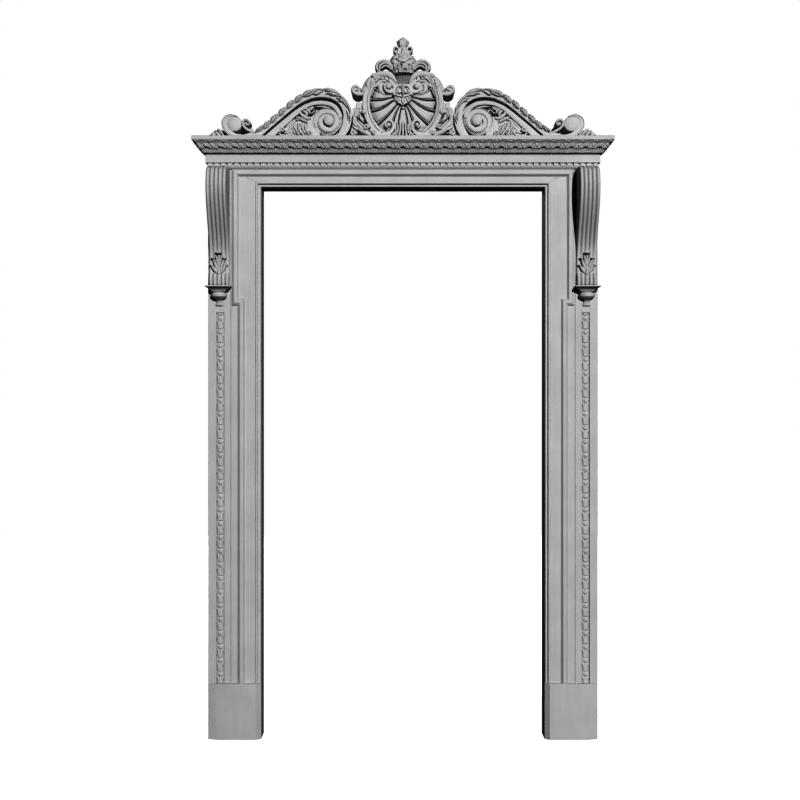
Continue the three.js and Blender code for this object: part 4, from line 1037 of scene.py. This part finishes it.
def shoulder():
    """The right-hand shoulder: overlapping smooth leaves, and a band that rolls into the top volute."""
    core = lifted([(158, 190), (150, 212), (134, 232), (112, 246), (88, 252), (68, 246)])
    shells = [ribbon(core, [16, 24, 32, 36, 34, 26], 0, [84, 88, 90, 90], 10, 60)]
    away = np.array([57, 211]) - ring_edge
    order = np.arange(len(ring_edge))
    widths = np.interp(order, [0, 2, 4, 6, 9, 13, 19], [20, 30, 24, 17, 14, 11, 8])
    middle = ring_edge + away / np.linalg.norm(away, axis=1, keepdims=True) * widths[:, None] / 2
    crown = np.interp(order, [0, 3, 6, 9, 13, 19], [92, 95, 94, 95, 98, 101])
    shells += [
        strand(middle, widths, 40, crown, 8, 150, plain_top),
        boss(52, pediment_foot + 208, 29, 0, 84, rise=3, sides=36),
        boss(57.3, pediment_foot + 211, 11.5, 60, 106, rise=7, sides=36),
    ]
    leaves = [
        ([(166, 186), (158, 196), (148, 212)], [4, 15, 7], 96),
        ([(139, 202), (138, 222), (127, 247)], [8, 25, 9], 99),
        ([(126, 214), (122, 228), (116, 240)], [5, 14, 6], 97),
        ([(116, 240), (104, 257), (84, 264), (62, 262), (44, 250), (31, 233), (27, 222)],
            [10, 22, 26, 27, 22, 14, 6], 101),
        ([(110, 240), (98, 246), (84, 244), (72, 240)], [8, 16, 15, 6], 98),
        ([(122, 212), (110, 227), (94, 235), (76, 236), (58, 233)], [6, 18, 20, 16, 8], 92),
        ([(123, 204), (113, 213), (101, 221), (86, 227)], [5, 14, 17, 9], 94),
    ]
    shells += strands(leaves, 60, (3, 0, 0, 4), 8, 44)
    shells += [
        strand([(132, 212), (131, 226), (125, 240)], [3, 7, 3], 80, [98, 102, 99], 6, 24),
        boss(117, pediment_foot + 254, 9.5, 60, 103, rise=9),
    ]
    for x, z, length, width, angle, top in (
            (112, 234, 22, 12, -70, 98), (102, 236, 18, 10, -62, 99), (94, 244, 20, 10, -56, 103),
            (80, 254, 20, 10, -50, 105), (68, 256, 18, 9, -64, 105), (54, 254, 18, 9, -84, 105),
            (124, 222, 18, 10, -84, 97),
    ):
        shells.append(leaf((x, z + pediment_foot), length, width, angle, 70, top, bend=-20))
    shells += [
        strand([(72, 222), (84, 221), (91, 212), (90, 200), (83, 189), (72, 181)], [8, 16, 20, 20, 15, 6],
            48, [88, 93, 93, 86], 8, 44),
        strand([(90, 206), (95, 198), (104, 196)], [8, 9, 4], 48, [90, 90, 86], 7, 20),
    ]
    return shells


# %% Hooks and side leaves
def flank():
    """Hook with its roll, cut stub, side leaves and small curls of the right-hand flank, over boards."""
    base = pediment_foot
    hook = lifted([
        (150, 186), (162, 184), (174, 182), (186, 183), (197, 189), (202, 200), (197, 210), (186, 212),
        (179, 205), (181, 197), (189, 196),
    ])
    shells = [ribbon(hook, [18, 17, 16, 15, 14, 13, 12, 11, 9, 8, 6], 40, [92, 94, 96, 98], 7, 70)]
    angle = np.linspace(0, 2 * np.pi, 36, endpoint=False)
    rolls = [
        (182, 194, 24, 0), (182, 194, 24, 30), (184, 195, 22, 56), (187, 196, 19, 76), (188, 197, 17, 88),
        (188, 198, 12, 90),
    ]
    shells += [
        skin(np.stack([place(x + r * np.cos(angle), out, base + z + r * np.sin(angle)) for x, z, r,
            out in rolls])),
        plate([(150, 178), (150, 196), (176, 196), (170, 178)], 0, 60),
        plate([(162, 118), (166, 150), (189, 150), (190, 134), (198, 120)], 0, 80),
        plate([(170, 124), (171, 144), (185, 144), (186, 126)], 0, 84),
        plate([(168, 30), (202, 30), (202, 124), (170, 124), (176, 90)], 0, 66),
        plate([(150, 46), (202, 46), (202, 60), (176, 92), (150, 84)], 0, 58),
        plate([(110, 0), (202, 0), (202, 40), (130, 60)], 0, 26),
    ]
    forms = [([(188, 128), (197, 116), (200, 100), (197, 84)], [12, 17, 16, 6], 86),
             ([(180, 124), (188, 110), (191, 94), (186, 78)], [10, 15, 14, 5], 91),
             ([(173, 120), (179, 108), (181, 96), (176, 84)], [8, 11, 10, 5], 88),
             ([(200, 100), (196, 84), (188, 72), (176, 66)], [8, 13, 13, 6], 90),
             ([(202, 80), (196, 66), (184, 56), (170, 50)], [8, 14, 14, 6], 92),
             ([(202, 62), (194, 50), (180, 42), (164, 40)], [8, 14, 13, 6], 88),
             ([(174, 100), (167, 84), (157, 66)], [5, 17, 6], 97),
             ([(196, 84), (185, 66), (170, 50), (150, 33), (122, 22)], [8, 15, 17, 18, 14], 94),
             ([(182, 78), (170, 64), (160, 54), (152, 44)], [6, 11, 12, 8], 97),
             ([(193, 62), (180, 46), (162, 32), (140, 22), (116, 15)], [6, 11, 13, 12, 7], 90)]
    shells += strands(forms, 30, (5, 0, 0, 8), 9, 34)
    for x, z, radius, top in ((148, 48, 14, 101), (200, 27, 15, 86), (116, 27, 11, 98)):
        shells += [
            ribbon(spiral(x, z + base, radius * 0.8, radius * 0.3, 200, -260, 30), [9, 5], 30,
                [top, top + 4], 6, 44),
            boss(x, z + base, radius, 10, top - 5, rise=9),
        ]
    shells += [
        boss(156, base + 109, 10, 10, 105, rise=9),
        boss(168, base + 112, 8, 10, 92, rise=7),
        strand([(166, 122), (174, 114), (172, 102), (162, 98)], [6, 8, 5], 30, [80, 84, 80], 6, 24),
    ]
    arm = lifted([
        (126, 46), (110, 30), (88, 20), (64, 22), (46, 34), (39, 52), (43, 67), (56, 74), (68, 67), (69, 54),
        (59, 46),
    ])
    shells += [
        ribbon(arm, [26, 26, 26, 22, 15, 12, 11, 10, 9, 8, 6], 30, [95, 97, 99, 101, 103], 7, 90, snail_top),
        boss(57, base + 58, 9, 40, 101, rise=8),
    ]
    return shells


# %% Calyx and foot leaf
def calyx():
    """Leaf calyx in two tiers over the hinge, the bead under it and the fluted leaf at the foot."""
    base = pediment_foot
    shells = [
        plate([(-24, 176), (24, 176), (24, 222), (-24, 222)], 10, 76),
        plate([(-30, 178), (30, 178), (36, 162), (20, 148), (0, 138), (-20, 148), (-36, 162)], 40, 87),
        plate([(-22, 220), (22, 220), (40, 184), (26, 174), (0, 168), (-26, 174), (-40, 184)], 40, 97),
    ]
    tongues = [
        ((0, 182), 48, 26, -90, 0, 96), ((11, 180), 40, 22, -66, 10, 95),
        ((-11, 180), 40, 22, -114, -10, 95), ((18, 178), 32, 16, -46, 10, 93),
        ((-18, 178), 32, 16, -134, -10, 93), ((0, 224), 60, 26, -90, 0, 108),
        ((9, 220), 50, 24, -66, -14, 105), ((-9, 220), 50, 24, -114, 14, 105),
        ((18, 206), 36, 18, -58, 20, 101), ((-18, 206), 36, 18, -122, -20, 101),
        ((22, 196), 28, 11, -34, 10, 98), ((-22, 196), 28, 11, -146, -10, 98),
    ]
    for (x, z), length, width, lean, bend, top in tongues:
        shells.append(leaf((x, z + base), length, width, lean, 56, top, bend=bend, lobes=2, notch=0.14,
            groove=3))
    for side in (-1, 1):
        shells += [
            strand([(side * 5, 204), (side * 13, 210), (side * 22, 205), (side * 27, 195)], [4, 6, 6, 3], 60,
                [104, 110, 108, 102], 6, 24),
            strand([(side * 4, 190), (side * 11, 184), (side * 20, 184), (side * 26, 178)], [4, 6, 6, 3], 60,
                [108, 110, 104, 98], 6, 24),
            boss(side * 36, base + 179, 5.5, 60, 100, rise=6),
        ]
    shells += [
        strand([(0, 220), (0, 204), (0, 184), (0, 172)], [6, 9, 9, 5], 60, [108, 113, 112, 104], 7, 24),
        boss(0, base + 124.5, 5.5, 60, 98, rise=7),
    ]
    for x, z, low, width, flare in (
            (0, 74, 4, 10, 0), (11, 74, 8, 9, 4), (21, 68, 10, 9, 6), (31, 52, 14, 8, 8),
    ):
        for side in ((1,) if x == 0 else (-1, 1)):
            points = [
                (side * (x + flare), z), (side * x, z - 12), (side * x, z / 2),
                (side * (x + flare * 1.6), low),
            ]
            shells.append(strand(points, [width * 0.7, width, width, width], 46, [92, 98, 98, 96], 8, 34))
    for side in (-1, 1):
        for x, z, length, lean, top in ((16, 30, 34, -32, 102), (24, 26, 26, -12, 98), (8, 24, 24, -56, 103)):
            shells.append(leaf((side * x, z + base), length, 14, -90 + side * (90 + lean), 46, top, groove=3))
    return shells


# %% Cartouche
cartouche_top = 272


def kept_off(shells):
    """Shells over the cornice and under the plumes, within 202 mm of the middle or a little more low down."""
    kept = []
    for points, quads, triangles in shells:
        points = points.copy()
        z = points[:, 2] * 1000 - floor_level - pediment_foot
        points[:, 2] = np.clip(z, 0, cartouche_top) / 1000 + (floor_level + pediment_foot) / 1000
        limit = np.interp(z, [20, 40, 60, 143.3, 143.4, 200], [0.214, 0.21, 0.202, 0.202, 0.3, 0.3])
        points[:, 0] = np.clip(points[:, 0], -limit, limit)
        kept.append((points, quads, triangles))
    return kept


flanks = shoulder() + flank()
piece("carved_cartouche", kept_off(shell() + flanks + mirrored(flanks) + calyx()), "cartouche", smooth=45)

# %% [markdown]
# ## Finial
# A fluted neck carries a woven basket, a dome of leaves, a collar with knobs and a pointed bud. It is oval in
# plan, because it has to stand on the thin cartouche. One surface of revolution carries it all: the radius is
# a profile of the height times a wave of the angle, and the wave changes from tier to tier.

# %% Body of the finial
finial_foot = pediment_foot + 222.6 + seam
finial_profile = np.array([
    [0, 24], [8, 25], [17, 26.5], [25, 28], [31, 29.5], [38, 31.5], [43, 33.5], [44.5, 34.5], [45, 38],
    [46, 41], [50, 43.5], [58, 48], [64, 51], [72, 55], [76, 56], [79, 54], [81, 49.5], [84, 48.5],
    [92, 49.5], [102, 49.5], [110, 46], [116, 41.5], [120, 37], [124, 31], [126, 27], [132, 25], [140, 23.5],
    [147, 21], [150, 17], [152, 14.5], [154, 16], [159, 20], [165, 22], [171, 23.3], [177, 24], [178.3, 23],
    [179.5, 20], [187, 11.5], [192, 5], [195, 1],
])
finial_height = 195
basket_row = 17
basket_foot = 46
finial_depth = [[0, 12, 0.3], [44.5, 54, 0.55], [basket_foot, 57, 0.82], [finial_height, 57, 0.8]]


def tier(h, low, high):
    """One inside the tier and nought outside it, with soft ends: a product of two logistic steps."""
    return 1 / (1 + np.exp(-(h - low) * 2)) / (1 + np.exp((h - high) * 2))


def finial_body():
    """Radius = profile(height) * (1 + wave(angle, height)); its depth is flattened by height."""
    h = np.linspace(0, finial_height, 190)[:, None]
    turn = np.linspace(0, 2 * np.pi, 180, endpoint=False)[None, :]
    radius = np.interp(h, finial_profile[:, 0], finial_profile[:, 1])
    row = np.sin(np.pi * (h - basket_foot) / basket_row)
    shift = np.pi * np.floor((h - basket_foot) / basket_row)
    weave = 0.05 * np.cos(9 * turn) * np.sign(row) * np.abs(row) ** 0.5
    holes = -0.75 * np.clip(np.cos(9 * turn + shift) - 0.4, 0, 1) * np.abs(row)
    front = turn - np.pi / 2
    tips = 0.07 * np.cos((h - 88) / 3) * np.cos(7 * front)
    leaves = 0.11 * np.abs(np.cos(3.5 * front)) ** 0.7 + tips - 0.06
    pits = -0.5 * np.exp(-((np.abs(front) - 0.66) / 0.11) ** 2 - ((h - 97) / 4.5) ** 2)
    pits = pits - 0.3 * np.exp(-(np.abs(front) / 0.3) ** 2 - ((h - 82) / 2) ** 2)
    pits = pits - 0.35 * np.exp(-((np.abs(front) - 0.6) / 0.09) ** 2 - ((h - 116) / 3) ** 2)
    facet = np.mod(turn, np.pi / 3) - np.pi / 6
    six_sided = math.cos(np.pi / 6) / np.cos(facet) - 0.93
    wave = (tier(h, 2, 43) * -0.13 * np.abs(np.sin(12 * turn)) + tier(h, 47, 79) * (weave + holes)
            + tier(h, 82, 122) * (leaves + pits) + tier(h, 125, 151) * 0.2 * np.cos(8 * turn)
            + tier(h, 153, 194) * six_sided)
    r = radius * (1 + wave)
    heights, middles, shares = np.transpose(finial_depth)
    out = np.interp(h, heights, middles) + np.interp(h, heights, shares) * r * np.sin(turn)
    return skin(place(r * np.cos(turn), out, finial_foot + h + 0 * turn))


# %% Plumes and knobs
def finial_sides():
    """Three strands on each side that spring from the basket and curl under, and a knob at the collar."""
    foot = finial_foot
    shells = []
    strand_lines = (
        ([(44, 80), (56, 91), (70, 96), (84, 95), (97, 89), (105, 78), (105, 66), (98, 57), (90, 59)], 12,
            80),
        ([(44, 71), (56, 81), (69, 86), (82, 83), (92, 75), (94, 66), (88, 62)], 11, 85),
        ([(44, 61), (56, 70), (68, 75), (79, 72), (86, 64)], 10, 82),
    )
    for side in (-1, 1):
        for line, width, top in strand_lines:
            points = [(side * x, foot + z) for x, z in line]
            shells.append(ribbon(points, [width + 2, width, width, width, width, width - 3], 38,
                [top - 6, top, top], 9, 54))
        shells += [
            ribbon([(side * 46, foot + 70), (side * 70, foot + 82), (side * 94, foot + 72)], [18, 20, 12],
                34, 62, 6, 24),
            boss(side * 96, foot + 66, 10, 36, 76, rise=10),
        ]
        knob = [(side * x, foot + z) for x,
            z in ((18, 127), (27, 128), (34, 135), (35, 145), (29, 151), (23, 146))]
        shells += [
            ribbon(knob, [9, 9, 9, 8, 8, 6], 40, [72, 78, 82], 6, 44),
            boss(side * 27, foot + 139, 6, 36, 62, rise=5),
        ]
    return shells


piece("carved_crown_finial", [finial_body()] + finial_sides(), "crown_finial", smooth=45)

# %% [markdown]
# ## Finishes on the pieces
# Brush marks run along a board, so upright boards, level boards and carving each take their own version of
# the paint.

# %% Give each piece its paint
for obj in made:
    paint = paint_carved
    if any(word in obj.name for word in ("plinth", "pilaster", "architrave_left", "architrave_right")):
        paint = paint_upright
    elif any(word in obj.name for word in ("head", "frieze", "dentil")):
        paint = paint_level
    obj.data.materials.append(paint)
print("painted pieces:", len(made))

# %% [markdown]
# ## Floor and light
# A plain pale floor and a pale surrounding keep the outline clear. One soft key light stands almost in front,
# a little to the right and above, so that the fronts are bright and every undercut falls dark. A weak soft
# light behind shows the flat backs to whoever walks round.

# %% Floor
floor_mesh = bpy.data.meshes.new("studio_floor")
reach = 8
floor_corners = [(x, y, floor_level / 1000) for x, y in ((-1, -1), (1, -1), (1, 1), (-1, 1))]
floor_mesh.from_pydata([(reach * x, reach * y, z) for x, y, z in floor_corners], [], [(0, 1, 2, 3)])
floor_object = bpy.data.objects.new("studio_floor", floor_mesh)
bpy.context.collection.objects.link(floor_object)
floor_paint = bpy.data.materials.new("pale_floor")
floor_paint.use_nodes = True
floor_shader = floor_paint.node_tree.nodes["Principled BSDF"]
floor_shader.inputs["Base Color"].default_value = (0.5, 0.5, 0.5, 1)
floor_shader.inputs["Roughness"].default_value = 0.9
floor_shader.inputs["Emission Color"].default_value = (1, 1, 1, 1)
floor_shader.inputs["Emission Strength"].default_value = 0.955
floor_mesh.materials.append(floor_paint)
floor_object.visible_diffuse = False
floor_object.visible_glossy = False
print("floor:", 2 * reach, "m square")

# %% Lights
world = bpy.data.worlds.new("pale_room")
bpy.context.scene.world = world
world.use_nodes = True
world_nodes, world_links = world.node_tree.nodes, world.node_tree.links
backdrop = world_nodes["Background"]
backdrop.inputs["Color"].default_value = (1, 1, 1, 1)
backdrop.inputs["Strength"].default_value = 1.0
fill = world_nodes.new("ShaderNodeBackground")
fill.inputs["Color"].default_value = (1, 1, 1, 1)
fill.inputs["Strength"].default_value = 0.02
ray = world_nodes.new("ShaderNodeLightPath")
mix = world_nodes.new("ShaderNodeMixShader")
world_links.new(ray.outputs["Is Camera Ray"], mix.inputs["Fac"])
world_links.new(fill.outputs["Background"], mix.inputs[1])
world_links.new(backdrop.outputs["Background"], mix.inputs[2])
world_links.new(mix.outputs["Shader"], world_nodes["World Output"].inputs["Surface"])


def soft_light(name, size, energy, location, fall, turn):
    """A round area light that looks `fall` degrees down and is turned about the upright by `turn` degrees."""
    data = bpy.data.lights.new(name, "AREA")
    data.shape = "DISK"
    data.size = size
    data.energy = energy
    light = bpy.data.objects.new(name, data)
    light.location = location
    light.rotation_euler = (math.radians(90 - fall), 0, math.radians(turn))
    bpy.context.collection.objects.link(light)


soft_light("key", 0.9, 8350, (4.8, -20.8, 6.1), 15.5, 13)
soft_light("back", 3, 700, (-3, 12, 4), 20, 180 + 14)
print("lights: a key in front and a weak one behind")
